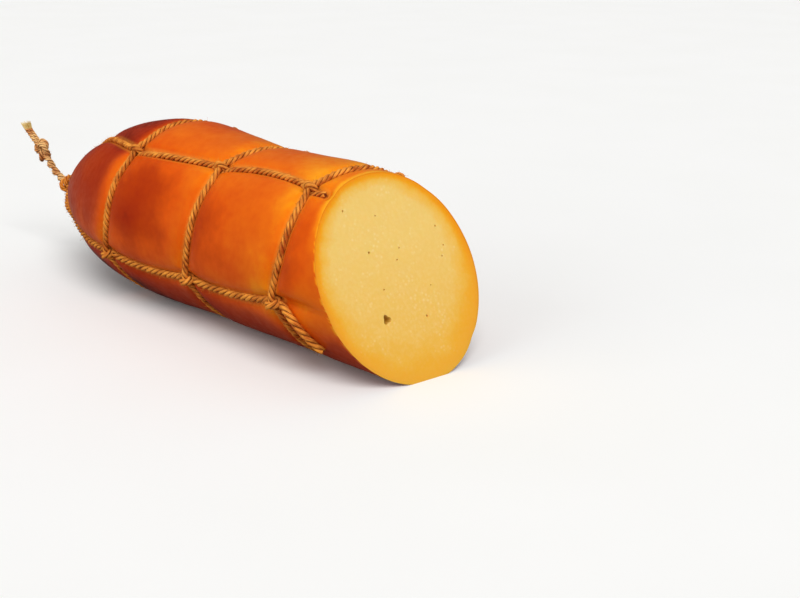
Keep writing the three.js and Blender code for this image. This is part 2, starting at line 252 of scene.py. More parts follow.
@dataclass
class LogShape:
    """Surface of the log and the routes of the twine on it, in millimetres.

    Attributes:
        pole: point that the bare body narrows to.
        tip_x: where the cheese itself ends.
        cap_x: where it starts to round off towards that end.
        shoulder_x: where the bare body starts to narrow.
        dome_power: how late it narrows.
        dome_taper: how blunt it ends.
        dome_bend: how late its middle line bends towards the pole.
        cap_power: how late the cheese rounds off.
        cap_taper: how blunt it ends.
        sections: the outline at each hoop and at the cut.
        strands: route of each lengthwise strand.
        twine_radius: outer radius of a twine.
        twine_depth: depth of a twine's middle below the bare skin.
        floor_gap: gap that a twine keeps to the floor.
        free_gap: gap to the skin where a strand runs free over the tip.
        bed: depth of the skin below a twine's middle.
        cross_lift: how much a hoop rises over a strand.
        cross_dip: how much a strand dips under a hoop.
        cross_length: how far beside the crossing that reaches.
        groove_floor: half width of a groove's floor.
        groove_fade: width of a groove's flank.
        groove_power: how steep that flank is.
        free_radius: body radius up to which a strand runs free.
        sunk_radius: body radius from which it lies in its groove.
        rise_length: length over which a strand's end rises.
        pull_length: how far round the log a strand pulls a hoop along.
        pull_reach: how far along the log the skin goes with it.
    """

    pole: tuple[float, float, float] = (-294.0, -5.5, 57.5)
    tip_x: float = -277.0
    cap_x: float = -243.0
    shoulder_x: float = -97.0
    dome_power: float = 2.75
    dome_taper: float = 1.15
    dome_bend: float = 1.5
    cap_power: float = 2.2
    cap_taper: float = 0.6
    sections: tuple[Section, ...] = (
        Section(-138.0, 0.01, 0.12, 68.0, 64.5, (2, 4, -7, -4)),
        Section(-41.3, 0.03, 0.07, 63.0, 61.2, (-2, -1.5, -5.5, -4)),
        Section(54.8, 0.0, 0.03, 63.3, 61.6, (-2, -3, -7, -4)),
        Section(99.0, 0.055, -0.44, 62.0, 60.3),
    )
    strands: tuple[StrandRoute, ...] = (
        StrandRoute((50, 50, 52, 49, 50), (2, 2, -2, 0), 80, 0.3, 0.3),
        StrandRoute((98, 129.5, 121, 121.5, 122), (-4, 0.5, -5, 0), 80, 0.2, 0.6),
        StrandRoute((196, 202, 199.5, 193.5, 191), (4, 4.5, 4.5, 0), 53, 0, 0.6),
        StrandRoute((310, 312, 316, 314, 315), (-2, -3, 2, 0), 88, 1.2, 0.7),
    )
    twine_radius: float = 2.0
    twine_depth: float = 2.4
    floor_gap: float = 0.3
    free_gap: float = 0.35
    bed: float = 1.5
    cross_lift: float = 2.2
    cross_dip: float = 2.3
    cross_length: float = 7.0
    groove_floor: float = 1.6
    groove_fade: float = 4.2
    groove_power: float = 1.15
    free_radius: float = 24.0
    sunk_radius: float = 45.0
    rise_length: float = 14.0
    pull_length: float = 20.0
    pull_reach: float = 26.0

    @property
    def cut(self) -> Section:
        """Section of the cut face."""
        return self.sections[-1]

    @property
    def lowest_twine(self) -> float:
        """Lowest height that a twine's middle may have."""
        return self.twine_radius + self.floor_gap

    def section_value(self, key: str, x: Array, ease: Callable[[Array], Array]) -> Array:
        """Interpolate one value of the sections along the log.

        Args:
            key: name of the Section field.
            x: positions along the log.
            ease: easing between two sections.

        Returns:
            The value at each position.
        """
        value = np.full_like(x, getattr(self.sections[0], key), dtype=float)
        for a, b in zip(self.sections, self.sections[1:]):
            share = ease((x - a.x) / (b.x - a.x))
            inside = x > a.x
            value = np.where(inside, getattr(a, key) + (getattr(b, key) - getattr(a, key)) * share, value)
        return value

    def towards_tip(self, x: Array) -> Array:
        """Share of the way from the rear hoop to the tip."""
        first = self.sections[0].x
        return np.clip((first - x) / (first - self.pole[0]), 0, 1)

    def radius(self, x: Array) -> Array:
        """Radius of the bare body at positions along the log."""
        t = np.clip((self.shoulder_x - x) / (self.shoulder_x - self.pole[0]), 0, 1)
        return self.section_value("radius", x, half_smooth) * (1 - t**self.dome_power) ** self.dome_taper

    def slope(self, x: Array, near: float = 0.05) -> Array:
        """How fast that radius grows along the log, measured just beside a position."""
        return (self.radius(x + near) - self.radius(x - near)) / (2 * near)

    def middle(self, x: Array) -> tuple[Array, Array]:
        """Y and Z of the middle line at positions along the log.

        Args:
            x: positions along the log.

        Returns:
            Its Y and its Z at each position.
        """
        t = self.towards_tip(x)
        z = self.section_value("middle", x, half_smooth)
        return self.pole[1] * t**2, z + (self.pole[2] - z) * t**self.dome_bend

    def cap(self, x: Array) -> Array:
        """Share of that radius that the cheese itself fills, rounding its tip off."""
        t = np.clip((self.cap_x - x) / (self.cap_x - self.tip_x), 0, 1)
        return (1 - t**self.cap_power) ** self.cap_taper

    def capped(self, points: Array, x: Array) -> Array:
        """Draw points in towards the middle line where the tip rounds off."""
        middle = np.stack([points[:, 0], *self.middle(x.ravel())], -1)
        return middle + (points - middle) * self.cap(x.ravel())[:, None]

    def lean(self, key: str, x: Array) -> Array:
        """Slope of the section's plane, fading out towards the tip."""
        return self.section_value(key, x, lambda t: np.clip(t, 0, 1)) * (1 - smooth(self.towards_tip(x)))

    def below_skin(self, x: Array, angle: Array, depth: Array, floor: float = 0.0) -> Array:
        """Points below the bare skin, measured along its normal.

        Args:
            x: positions along the log.
            angle: angles round it, in radians.
            depth: depth below the skin; negative is outside.
            floor: lowest height that a point may have.

        Returns:
            N x 3 points in millimetres.
        """
        x, angle, depth = np.broadcast_arrays(*(np.asarray(v, dtype=float) for v in (x, angle, depth)))
        r = self.radius(x)
        slope = self.slope(x)
        length = np.sqrt(1 + slope**2)
        middle_y, middle_z = self.middle(x)
        y = (r - depth / length) * np.cos(angle)
        z = np.maximum((r - depth / length) * np.sin(angle), floor - middle_z)
        along = x + depth * slope / length + self.lean("lean_y", x) * y + self.lean("lean_z", x) * z
        return np.stack([along, middle_y + y, middle_z + z], -1)

    def strand_angle(self, k: int, x: Array) -> Array:
        """Angle of strand k at positions along the log, in radians.

        Args:
            k: number of the strand.
            x: positions along the log.

        Returns:
            The angle at each position.
        """
        route = self.strands[k]
        stops = [self.pole[0], *(s.x for s in self.sections)]
        value = np.full_like(x, route.angles[0], dtype=float)
        for i in range(1, len(stops)):
            t = np.clip((x - stops[i - 1]) / (stops[i] - stops[i - 1]), 0, 1)
            here = route.angles[i - 1] + (route.angles[i] - route.angles[i - 1]) * smooth(t)
            value = np.where(x >= stops[i - 1], here + route.bow[i - 1] * 4 * t * (1 - t), value)
        return np.radians(value)

    def to_strand(self, k: int, x: Array, angle: Array) -> Array:
        """Signed distance round the log from strand k.

        Args:
            k: number of the strand.
            x: positions along the log.
            angle: angles round it, in radians.

        Returns:
            The distances in millimetres.
        """
        turn = angle - self.strand_angle(k, x)
        turn = turn - 2 * np.pi * np.round(turn / (2 * np.pi))
        return turn * self.radius(x)

    def hoop_shift(self, h: int, angle: Array) -> Array:
        """How far the strands pull hoop h along the log at each angle.

        Args:
            h: number of the hoop.
            angle: angles round the log, in radians.

        Returns:
            The shift in millimetres at each angle.
        """
        section = self.sections[h]
        x = np.full_like(angle, section.x)
        return sum(
            pull * np.exp(-((self.to_strand(k, x, angle) / self.pull_length) ** 2))
            for k, pull in enumerate(section.pull)
        )

    def to_hoop(self, h: int, x: Array, angle: Array) -> Array:
        """Signed distance along the log from hoop h.

        Args:
            h: number of the hoop.
            x: positions along the log.
            angle: angles round it, in radians.

        Returns:
            The distances in millimetres.
        """
        s, r = self.sections[h], self.radius(x)
        return (
            x - s.x - self.hoop_shift(h, angle)
            + (self.lean("lean_y", x) - s.lean_y) * r * np.cos(angle)
            + (self.lean("lean_z", x) - s.lean_z) * r * np.sin(angle)
        )

    def row_shift(self, x: Array, angle: Array) -> Array:
        """How far the skin goes along with the hoops beside it.

        Args:
            x: positions along the log.
            angle: angles round it, in radians.

        Returns:
            The shift in millimetres.
        """
        total = np.zeros(np.broadcast(x, angle).shape)
        for hoop in Hoop:
            t = (x - self.sections[hoop.value].x) / self.pull_reach
            total += self.hoop_shift(hoop.value, angle) * np.clip(1 - t**2, 0, 1) ** 2
        return total

    def bump(self, distance: Array) -> Array:
        """Share of a crossing's full rise or dip at a distance from it."""
        return np.exp(-((distance / self.cross_length) ** 2))

    def hoop_depth(self, h: int, angle: Array) -> Array:
        """Depth of hoop h's middle below the bare skin.

        Args:
            h: number of the hoop.
            angle: angles round the log, in radians.

        Returns:
            The depth in millimetres at each angle.
        """
        s = self.sections[h]
        x = np.full_like(angle, s.x)
        depth = np.full_like(angle, self.twine_depth)
        for strand in Strand:
            depth -= self.cross_lift * self.bump(self.to_strand(strand.value, x, angle))
        up = -np.sin(angle)
        bare = self.middle(x)[1] - self.radius(x) * up
        pressed = (self.lowest_twine - bare) / np.maximum(up, 0.5)
        return np.where(up > 0.5, np.maximum(depth, pressed), depth)

    def strand_depth(self, k: int, x: Array) -> Array:
        """Depth of strand k's middle below the bare skin.

        Args:
            k: number of the strand.
            x: positions along the log.

        Returns:
            The depth in millimetres at each position.
        """
        free = -(self.twine_radius + self.free_gap)
        sunk = ramp(self.radius(x), self.free_radius, self.sunk_radius)
        depth = free + (self.twine_depth - free) * sunk
        for hoop in Hoop:
            depth = depth + self.cross_dip * self.bump(self.to_hoop(hoop.value, x, self.strand_angle(k, x)))
        route = self.strands[k]
        return depth - route.rise * ramp(x, route.end_x - self.rise_length, route.end_x)

    def strand_floor(self, k: int, x: Array) -> Array:
        """Depth of the groove under strand k, and of the crease past its end.

        Args:
            k: number of the strand.
            x: positions along the log.

        Returns:
            The depth in millimetres at each position.
        """
        route = self.strands[k]
        floor = np.maximum(0, self.strand_depth(k, np.minimum(x, route.end_x)) + self.bed)
        share = ramp(x, route.end_x, self.cut.x)
        return floor + (route.crease - floor) * share

    def groove(self, distance: Array) -> Array:
        """Share of a groove's full depth at a distance from its middle."""
        beside = np.maximum(0, np.abs(distance) - self.groove_floor)
        return np.exp(-((beside / self.groove_fade) ** self.groove_power))

    def surface_depth(self, x: Array, angle: Array) -> Array:
        """Depth of the cheese's surface below the bare skin.

        Args:
            x: positions along the log.
            angle: angles round it, in radians.

        Returns:
            The depths in millimetres.
        """
        total = np.zeros(np.broadcast(x, angle).shape)
        for hoop in Hoop:
            floor = self.hoop_depth(hoop.value, angle) + self.bed
            total += (floor * self.groove(self.to_hoop(hoop.value, x, angle))) ** 4
        for strand in Strand:
            floor = self.strand_floor(strand.value, x)
            total += (floor * self.groove(self.to_strand(strand.value, x, angle))) ** 4
        return total**0.25

    def net_distance(self, x: Array, angle: Array) -> Array:
        """Distance to the nearest twine, in millimetres.

        Args:
            x: positions along the log.
            angle: angles round it, in radians.

        Returns:
            The distances.
        """
        gaps = [np.abs(self.to_hoop(h.value, x, angle)) for h in Hoop]
        for strand in Strand:
            past = np.maximum(0, x - self.strands[strand.value].end_x)
            gaps.append(np.hypot(self.to_strand(strand.value, x, angle), past))
        return np.minimum.reduce(gaps)


# ---------------------------------------------------------------- materials


def pattern_scale(size_mm: float) -> float:
    """Texture scale that gives features of a size, in mm, on Object coordinates."""
    return 1.0 / (size_mm * MM)


def new_material(name: str) -> tuple[bpy.types.Material, bpy.types.Node]:
    """Make a node material with nothing but its shader.

    Args:
        name: name of the material.

    Returns:
        The material and its Principled shader.
    """
    material = bpy.data.materials.new(name)
    material.use_nodes = True
    tree = material.node_tree
    tree.nodes.clear()
    shader = add_node(tree, "BsdfPrincipled")
    add_node(tree, "OutputMaterial", {"Surface": shader})
    return material, shader


def set_inputs(shader: bpy.types.Node, values: dict[str, Any]) -> None:
    """Set or link inputs of a shader.

    Args:
        shader: the Principled shader.
        values: input name to a value, or to a node whose first output is linked.
    """
    for name, value in values.items():
        if isinstance(value, bpy.types.Node):
            output = next(s for s in value.outputs if s.enabled)
            shader.id_data.links.new(output, shader.inputs[name])
        else:
            shader.inputs[name].default_value = value


@dataclass(frozen=True)
class SmokedRind:
    """Rind of a smoked stretched-curd cheese.

    Attributes:
        name: name of the material.
        stops: colours from the palest to the deepest dye.
        pale: colour of the line beside the twine, partly unsmoked skin and partly a painted highlight.
        groove: painted shade colour right under the twine.
        cloud_mm: size of the dye's broad clouds.
        mottle_mm: size of its small flecks.
        grain_mm: size of the skin's grain.
        pit_mm: distance between its dimples.
        roughness: its mean roughness.
    """

    name: str = "smoked_cheese_rind"
    stops: tuple[tuple[float, str], ...] = (
        (0.0, "F7A61E"), (0.14, "F08A12"), (0.28, "E66C0E"), (0.45, "D8540A"),
        (0.65, "B53C0A"), (0.85, "A22C0C"), (1.0, "621608"),
    )
    pale: str = "F4A23C"
    groove: str = "74280B"
    cloud_mm: float = 34.0
    mottle_mm: float = 5.0
    grain_mm: float = 1.3
    pit_mm: float = 4.2
    roughness: float = 0.36

    def build(self) -> bpy.types.Material:
        """Make the material.

        Returns:
            The node material.
        """
        # hot smoke dyes the skin unevenly from amber to red-brown and leaves a
        # paler line beside the twine, which also carries a painted highlight;
        # painted shade darkens the skin right under the twine; fat makes it shine
        # softly like wax
        material, shader = new_material(self.name)
        node = partial(add_node, material.node_tree)
        place = node("TexCoord").outputs["Object"]
        # the smoke values hold the real smoke dye with painted shade and painted light laid in
        smoke = node("Attribute", attribute_name="smoke").outputs["Fac"]
        gap = node("Attribute", attribute_name="net_distance").outputs["Fac"]
        cloud = node("TexNoise", {"Vector": place, "Scale": pattern_scale(self.cloud_mm), "Detail": 3.0})
        mottle = node("TexNoise", {"Vector": place, "Scale": pattern_scale(self.mottle_mm), "Detail": 4.0})
        grain = node("TexNoise", {"Vector": place, "Scale": pattern_scale(self.grain_mm), "Detail": 5.0})

        drift = node("MapRange", (cloud, 0.3, 0.7, -0.10, 0.10))
        fleck = node("MapRange", (mottle, 0.3, 0.7, -0.03, 0.03))
        drifted = node("Math", (smoke, drift), operation="ADD")
        depth = node("Math", (drifted, fleck), operation="ADD", use_clamp=True)
        dyed = node("ValToRGB", {"Fac": depth}, stops=self.stops)

        # real unsmoked line mixed with a painted highlight: paler rind beside the twine
        beside = node("MapRange", (gap, 2.6, 5.8, 0.42, 0.0), interpolation_type="SMOOTHSTEP")
        shaded = node("Mix", (beside, dyed, srgb(self.pale)), data_type="RGBA")
        # painted shade: the rind darkens right under the twine, where the twine shades it
        under = node("MapRange", (gap, 1.0, 2.6, 0.5, 0.0), interpolation_type="SMOOTHSTEP")
        colour = node("Mix", (under, shaded, srgb(self.groove)), data_type="RGBA")

        gloss = node("MapRange", (mottle, 0.3, 0.7, self.roughness - 0.07, self.roughness + 0.09))
        shine = node("MapRange", (smoke, 0.4, 0.8, 0.17, 0.06))
        pits = node("TexVoronoi", {"Vector": place, "Scale": pattern_scale(self.pit_mm)}, feature="SMOOTH_F1")
        dimple = node("MapRange", (pits, 0.0, 0.35, 0.0, 1.0))
        pitted = node("Bump", {"Height": dimple, "Strength": 0.1, "Distance": 0.2 * MM})
        relief = node("Bump", {"Height": grain, "Normal": pitted, "Strength": 0.15, "Distance": 0.1 * MM})
        set_inputs(shader, {
            "Base Color": colour, "Roughness": gloss, "Normal": relief, "IOR": 1.45,
            "Specular IOR Level": shine, "Specular Tint": srgb("FF9A50"),
            "Subsurface Weight": 0.12, "Subsurface Radius": (1.0, 0.35, 0.12), "Subsurface Scale": 3.0 * MM,
        })
        return material


@dataclass(frozen=True)
class CutPaste:
    """Fresh-cut paste of a firm stretched-curd cheese.

    Attributes:
        name: name of the material.
        reach_mm: how far the deeper colour under the rind reaches inward.
        low: colour that the lower part leans to.
        stops: colours from the rind inward.
        light: colour of the palest curd.
        eye: painted shade colour down in an eye.
        painted_glint: colour of the painted glints.
        glint_mm: distance between the painted glints.
        blotch_mm: size of the uneven patches.
        curd_mm: size of the curd's grain.
        drag_mm: distance between the knife's drag lines.
        roughness: its roughness.
    """

    name: str = "cut_cheese_paste"
    reach_mm: float = 11.0
    low: str = "EAB13B"
    stops: tuple[tuple[float, str], ...] = (
        (0.0, "E08214"), (0.08, "F0960A"), (0.24, "F2A412"), (0.45, "F0BA48"), (1.0, "F0CA70"),
    )
    light: str = "F6DB98"
    eye: str = "B47C20"
    painted_glint: str = "FFF2C8"
    glint_mm: float = 3.0
    blotch_mm: float = 16.0
    curd_mm: float = 2.4
    drag_mm: float = 1.6
    roughness: float = 0.5

    def build(self) -> bpy.types.Material:
        """Make the material.

        Returns:
            The node material.
        """
        # pale butter yellow and slightly see-through, deeper and more orange
        # under the rind, with fine knife drag and painted shade in a few eyes
        material, shader = new_material(self.name)
        node = partial(add_node, material.node_tree)
        place = node("TexCoord").outputs["Object"]
        rim = node("Attribute", attribute_name="rim_distance").outputs["Fac"]
        eye = node("Attribute", attribute_name="eye_depth").outputs["Fac"]
        blotch = node("TexNoise", {"Vector": place, "Scale": pattern_scale(self.blotch_mm), "Detail": 3.0})
        curd = node("TexNoise", {"Vector": place, "Scale": pattern_scale(self.curd_mm), "Detail": 5.0})

        wander = node("MapRange", (blotch, 0.3, 0.7, 0.75, 1.3))
        parts = node("SeparateXYZ", {"Vector": place}).outputs
        height, across = parts["Z"], parts["Y"]
        side = node("MapRange", (across, 0.0, 60 * MM, 1.0, 0.62))
        slower = node("MapRange", (height, 20 * MM, 100 * MM, 0.4, 1.1))
        inward = rim
        for factor in (wander, slower, side):
            inward = node("Math", (inward, factor), operation="MULTIPLY")
        share = node("Math", (inward, self.reach_mm), operation="DIVIDE", use_clamp=True)
        body = node("ValToRGB", {"Fac": share}, stops=self.stops)
        pale = node("MapRange", (curd, 0.42, 0.7, 0.0, 0.2))
        bottom = node("MapRange", (height, 5 * MM, 85 * MM, 0.75, 0.0))
        deeper = node("Mix", (bottom, body, srgb(self.low)), data_type="RGBA")
        inner = node("Math", (pale, share), operation="MULTIPLY")
        smooth_paste = node("Mix", (inner, deeper, srgb(self.light)), data_type="RGBA")
        # pin-sized painted glints, pale specks thick in some places and missing in others
        glint_cells = node("TexVoronoi", {"Vector": place, "Scale": pattern_scale(self.glint_mm)})
        painted_glint = node("MapRange", (glint_cells, 0.08, 0.4, 0.24, 0.0))
        crowd = node("MapRange", (blotch, 0.46, 0.6))
        crowded = node("Math", (painted_glint, crowd), operation="MULTIPLY")
        speck = node("Math", (crowded, share), operation="MULTIPLY")
        paste_with_glints = node("Mix", (speck, smooth_paste, srgb(self.painted_glint)), data_type="RGBA")
        # painted shade: the eyes darken with depth
        hollow = node("MapRange", (eye, 0.0, 1.6, 0.0, 0.85))
        colour = node("Mix", (hollow, paste_with_glints, srgb(self.eye)), data_type="RGBA")

        # the knife drags along Y, so the drag lines are stacked in Z
        stretched = node("Mapping", {"Vector": place, "Scale": (1.0, 0.06, 1.0)})
        drag = node("TexNoise", {"Vector": stretched, "Scale": pattern_scale(self.drag_mm), "Detail": 3.0})
        knife = node("Bump", {"Height": drag, "Strength": 0.25, "Distance": 0.12 * MM})
        relief = node("Bump", {"Height": curd, "Normal": knife, "Strength": 0.3, "Distance": 0.12 * MM})
        set_inputs(shader, {
            "Base Color": colour, "Normal": relief, "Roughness": self.roughness, "IOR": 1.45,
            "Specular IOR Level": 0.2, "Subsurface Weight": 0.35,
            "Subsurface Radius": (1.0, 0.55, 0.2), "Subsurface Scale": 5.0 * MM,
        })
        return material


@dataclass(frozen=True)
class PlantTwine:
    """Plied plant-fibre twine, jute or sisal.

    Attributes:
        name: name of the material.
        dark: colour of its darker fibres.
        light: colour of its lighter fibres.
        hollow: painted shade colour deep between the plies.
        fibre_mm: width of a bundle of fibres, coarser than real ones to show.
        patch_mm: size of its darker and lighter stretches.
        roughness: its roughness.
        shade: where the hollows' colour starts to fade and where it ends, as
            shares of the twine's radius.
    """

    name: str
    dark: str
    light: str
    hollow: str
    fibre_mm: float = 0.5
    patch_mm: float = 9.0
    roughness: float = 0.82
    shade: tuple[float, float] = (0.5, 0.9)

    def build(self) -> bpy.types.Material:
        """Make the material.

        Returns:
            The node material.
        """
        # each ply is a dull straw-like bundle streaked along its twist; painted
        # shade keeps the hollows between the plies dark
        material, shader = new_material(self.name)
        node = partial(add_node, material.node_tree)
        along = node("Attribute", attribute_name="along").outputs["Fac"]
        around = node("Attribute", attribute_name="around").outputs["Vector"]
        outer = node("Attribute", attribute_name="outer").outputs["Fac"]
        tint = node("Attribute", attribute_name="tint").outputs["Fac"]

        # fibres are long in the twine's direction and thin across it
        lengthwise = node("Math", (along, 0.12), operation="MULTIPLY")
        shifted = node("Math", (tint, 0.05, lengthwise), operation="MULTIPLY_ADD")
        onward = node("CombineXYZ", {"Z": shifted})
        place = node("VectorMath", (around, (MM, MM, 0.0), onward), operation="MULTIPLY_ADD")
        fibre = node("TexNoise", {"Vector": place, "Scale": pattern_scale(self.fibre_mm), "Detail": 3.0})
        spot = node("TexCoord").outputs["Object"]
        patch = node("TexNoise", {"Vector": spot, "Scale": pattern_scale(self.patch_mm), "Detail": 2.0})

        both = node("Math", (fibre, patch), operation="ADD")
        mixed = node("MapRange", (both, 0.72, 1.25, 0.0, 1.0))
        straw = node("Mix", (mixed, srgb(self.dark), srgb(self.light)), data_type="RGBA")
        # painted shade: the colour darkens towards the twine's middle, in the hollows between the plies
        gap = node("MapRange", (outer, *self.shade, 0.95, 0.0), interpolation_type="SMOOTHSTEP")
        colour = node("Mix", (gap, straw, srgb(self.hollow)), data_type="RGBA")
        relief = node("Bump", {"Height": fibre, "Strength": 0.6, "Distance": 0.25 * MM})
        set_inputs(shader, {
            "Base Color": colour, "Normal": relief, "Roughness": self.roughness,
            "Specular IOR Level": 0.2,
        })
        return material


@dataclass(frozen=True)
class PaintedFloor:
    """Matt white studio floor.

    Attributes:
        name: name of the material.
        base: colour of the paint.
        shade: colour of its barely darker clouds.
        flagged: colour that the log sees instead.
        cloud_mm: size of the clouds.
    """

    name: str = "matt_white_floor"
    base: str = "FCFCFB"
    shade: str = "F8F8F6"
    flagged: str = "96908A"
    cloud_mm: float = 160.0

    def build(self) -> bpy.types.Material:
        """Make the material.

        Returns:
            The node material.
        """
        # rolled emulsion paint: no shine, barely uneven white
        material, shader = new_material(self.name)
        node = partial(add_node, material.node_tree)
        place = node("TexCoord").outputs["Object"]
        cloud = node("TexNoise", {"Vector": place, "Scale": pattern_scale(self.cloud_mm)})
        colour = node("Mix", (cloud, srgb(self.base), srgb(self.shade)), data_type="RGBA")
        # the log sees the floor as if black cloth lay round it, out of view
        seen = node("LightPath").outputs["Is Camera Ray"]
        lit = node("Mix", (seen, srgb(self.flagged), colour), data_type="RGBA")
        set_inputs(shader, {"Base Color": lit, "Roughness": 0.9})
        return material


# ------------------------------------------------------------------- cheese


@dataclass(frozen=True)
class SmokeAndPaintedShadingBand:
    """Dark band in the rear of a swelling, and a pale one behind its hoop.

    Attributes:
        hoop: hoop that the swelling starts at.
        share: how much darker the dark band is, partly smoke and partly painted shade.
        middle: how far its middle lies in front of the hoop, in millimetres.
        width: its half width.
        pale: how much paler the pale band is, as painted light.
    """

    hoop: Hoop
    share: float
    middle: float
    width: float
    pale: float


@dataclass(frozen=True)
class SmokeDyeAndPaintedShading:
    """How deeply smoke has dyed the rind, in shares of the deepest dye.

    It is deepest on the tip that hung lowest in the smoke. It is also deeper on
    the underside and in the rear part of each swelling, partly from smoke and
    partly as painted shade; painted light makes the top, the lower flanks and the
    low part of the tip paler.

    Attributes:
        base: dye of the middle of a flank.
        tip: how much deeper it is on the tip.
        tip_top: how much deeper again on top of the tip.
        tip_low: how much less deep low on the tip, as painted light.
        front: how much less deep towards the cut.
        top: how much less deep on top of the log, as painted light.
        front_top: how much less deep again on top of its front, as painted light.
        underside: how much deeper on the underside, partly smoke dye and partly painted shade.
        flank: how much less deep low on the flanks, as painted light.
        beside_cut: how much less deep beside the cut face.
        cut_reach: how far from the cut that reaches, in millimetres.
        low_fade: share of the bands that is lost low on the flanks, as painted light.
        pale_back: how far behind its hoop a pale band of painted light lies.
        pale_width: half width of a pale band.
        bands: the bands of the three swellings.
    """

    base: float = 0.44
    tip: float = 0.31
    tip_top: float = 0.10
    tip_low: float = 0.07
    front: float = 0.08
    top: float = 0.04
    front_top: float = 0.09
    underside: float = 0.36
    flank: float = 0.09
    beside_cut: float = 0.30
    cut_reach: float = 14.0
    low_fade: float = 0.55
    pale_back: float = 9.0
    pale_width: float = 12.0
    bands: tuple[SmokeAndPaintedShadingBand, ...] = (
        SmokeAndPaintedShadingBand(Hoop.REAR, 0.38, 32, 35, 0.07),
        SmokeAndPaintedShadingBand(Hoop.MIDDLE, 0.16, 16, 26, 0.11),
        SmokeAndPaintedShadingBand(Hoop.FRONT, 0.14, 12, 14, 0.11),
    )

    def depth(self, shape: LogShape, x: Array, angle: Array) -> Array:
        """Work out the dye at points of the rind.

        Args:
            shape: the log's shape.
            x: positions along the log.
            angle: angles round it, in radians.

        Returns:
            Values from 0 to 1.
        """
        up = np.sin(angle)
        high = ramp(up, 0.55, 0.9)
        tip = ramp(-shape.to_hoop(Hoop.REAR.value, x, angle), 4 - 3 * high, 28 - 17 * high)
        # painted shade, mixed with real smoke dye, darkens the underside
        depth = self.base - self.front * ramp(x, -40, 60) + self.underside * ramp(-up, 0.3, 0.7)
        # on the tip, painted light makes its low part paler
        depth = depth + tip * (self.tip + self.tip_top * high - self.tip_low * ramp(-up, -0.4, 0.2))
        # painted light makes the top paler, more so towards the front
        top = self.top + self.front_top * ramp(x, -120, -60)
        depth = depth - top * ramp(up, 0.45, 0.85) * (1 - tip)
        # painted light makes the lower flanks paler
        depth = depth - self.flank * ramp(-up, -0.1, 0.2) * ramp(up, -0.6, -0.35)
        fresh = ramp(x, shape.cut.x - self.cut_reach, shape.cut.x)
        depth = depth - self.beside_cut * fresh * ramp(up, 0.1, 0.8)
        # painted light also fades the dark bands low on the flanks
        low = 1 - self.low_fade * ramp(-up, -0.15, 0.2)
        for band in self.bands:
            ahead = shape.to_hoop(band.hoop.value, x, angle)
            # dark band in the rear of the swelling, turned from the light: partly smoke, partly painted shade
            dark = np.exp(-(((ahead - band.middle) / band.width) ** 2)) * ramp(ahead, 0, 6)
            # pale band of painted light behind the hoop, on the lit front of the swelling before it
            pale = np.exp(-(((ahead + self.pale_back) / self.pale_width) ** 2))
            depth = depth + band.share * dark * low * ramp(-up, -1, -0.4) - band.pale * pale
        return np.clip(depth, 0, 1)


@dataclass(frozen=True)
class Eye:
    """A small hollow in the cut face.

    Attributes:
        y: position across the face, in millimetres.
        z: height above the floor.
        radius: mean radius of its mouth.
        points: how far its mouth leans towards a rounded triangle, 0 to 1.
    """

    y: float
    z: float
    radius: float
    points: float = 0.1

    @property
    def middle(self) -> Array:
        """Y and Z of its middle."""
        return np.array([self.y, self.z])

    def mouth(self, number: int) -> Array:
        """Outline of its mouth.

        Args:
            number: number of the eye, which turns its shape.

        Returns:
            N x 2 points, as Y and Z.
        """
        count = max(12, int(9 * self.radius))
        turn = np.linspace(0, 2 * np.pi, count, endpoint=False)
        uneven = 1 + 0.5 * self.points * np.cos(3 * turn + 0.6) + 0.07 * np.cos(2 * turn + number)
        return self.middle + self.radius * uneven[:, None] * np.stack([np.cos(turn), np.sin(turn)], -1)


@dataclass
class FaceDraft:
    """The cut face while it is being made.

    Attributes:
        flat: Y and Z of each point.
        sink: how deep each point lies below the cut's plane.
        depth: how deep it lies in an eye.
        edge: its distance to the rim.
        faces: point numbers of each face.
    """

    flat: list[tuple[float, float]]
    sink: list[float]
    depth: list[float]
    edge: list[float]
    faces: list[tuple[int, ...]]

    def add_point(self, place: Array, sink: float, depth: float, edge: float) -> int:
        """Add a point.

        Args:
            place: its Y and Z.
            sink: how deep it lies below the cut's plane.
            depth: how deep it lies in an eye.
            edge: its distance to the rim.

        Returns:
            Its number.
        """
        self.flat.append((float(place[0]), float(place[1])))
        self.sink.append(sink)
        self.depth.append(depth)
        self.edge.append(edge)
        return len(self.flat) - 1

    def add_bowl(self, eye: Eye, ring: list[int], steps: Sequence[tuple[float, float]]) -> None:
        """Hollow out one eye inside its mouth.

        Args:
            eye: the eye.
            ring: numbers of its mouth's points.
            steps: width and depth of each step down, as shares of the mouth's
                width and of the eye's radius; the last is a single point.
        """
        mouth = [np.array(self.flat[i]) for i in ring]
        top, edge = self.sink[ring[0]], self.edge[ring[0]]
        for share, deep in steps[:-1]:
            depth = deep * eye.radius
            below = [
                self.add_point(eye.middle + (p - eye.middle) * share, top + depth, depth, edge) for p in mouth
            ]
            for i, here in enumerate(ring):
                k = (i + 1) % len(ring)
                self.faces.append((here, ring[k], below[k], below[i]))
            ring, top = below, self.sink[below[0]]
        lowest = top + steps[-1][1] * eye.radius
        bottom = self.add_point(eye.middle, lowest, self.depth[ring[0]], edge)
        self.faces += [(here, ring[(i + 1) % len(ring)], bottom) for i, here in enumerate(ring)]


def in_outline(y: float, z: float, outline: Array) -> bool:
    """Tell whether a point lies inside a closed outline.

    Args:
        y: the point's Y.
        z: its Z.
        outline: N x 2 points.

    Returns:
        Whether it lies inside.
    """
    a, b = outline, np.roll(outline, -1, axis=0)
    crosses = (a[:, 1] > z) != (b[:, 1] > z)
    with np.errstate(divide="ignore", invalid="ignore"):
        at = a[:, 0] + (z - a[:, 1]) / (b[:, 1] - a[:, 1]) * (b[:, 0] - a[:, 0])
    return bool(np.count_nonzero(crosses & (y < at)) % 2)


def outline_distance(points: Array, outline: Array) -> Array:
    """Distance of each point to the nearest point of an outline."""
    return np.min(np.linalg.norm(points[:, None] - outline[None], axis=2), axis=1)


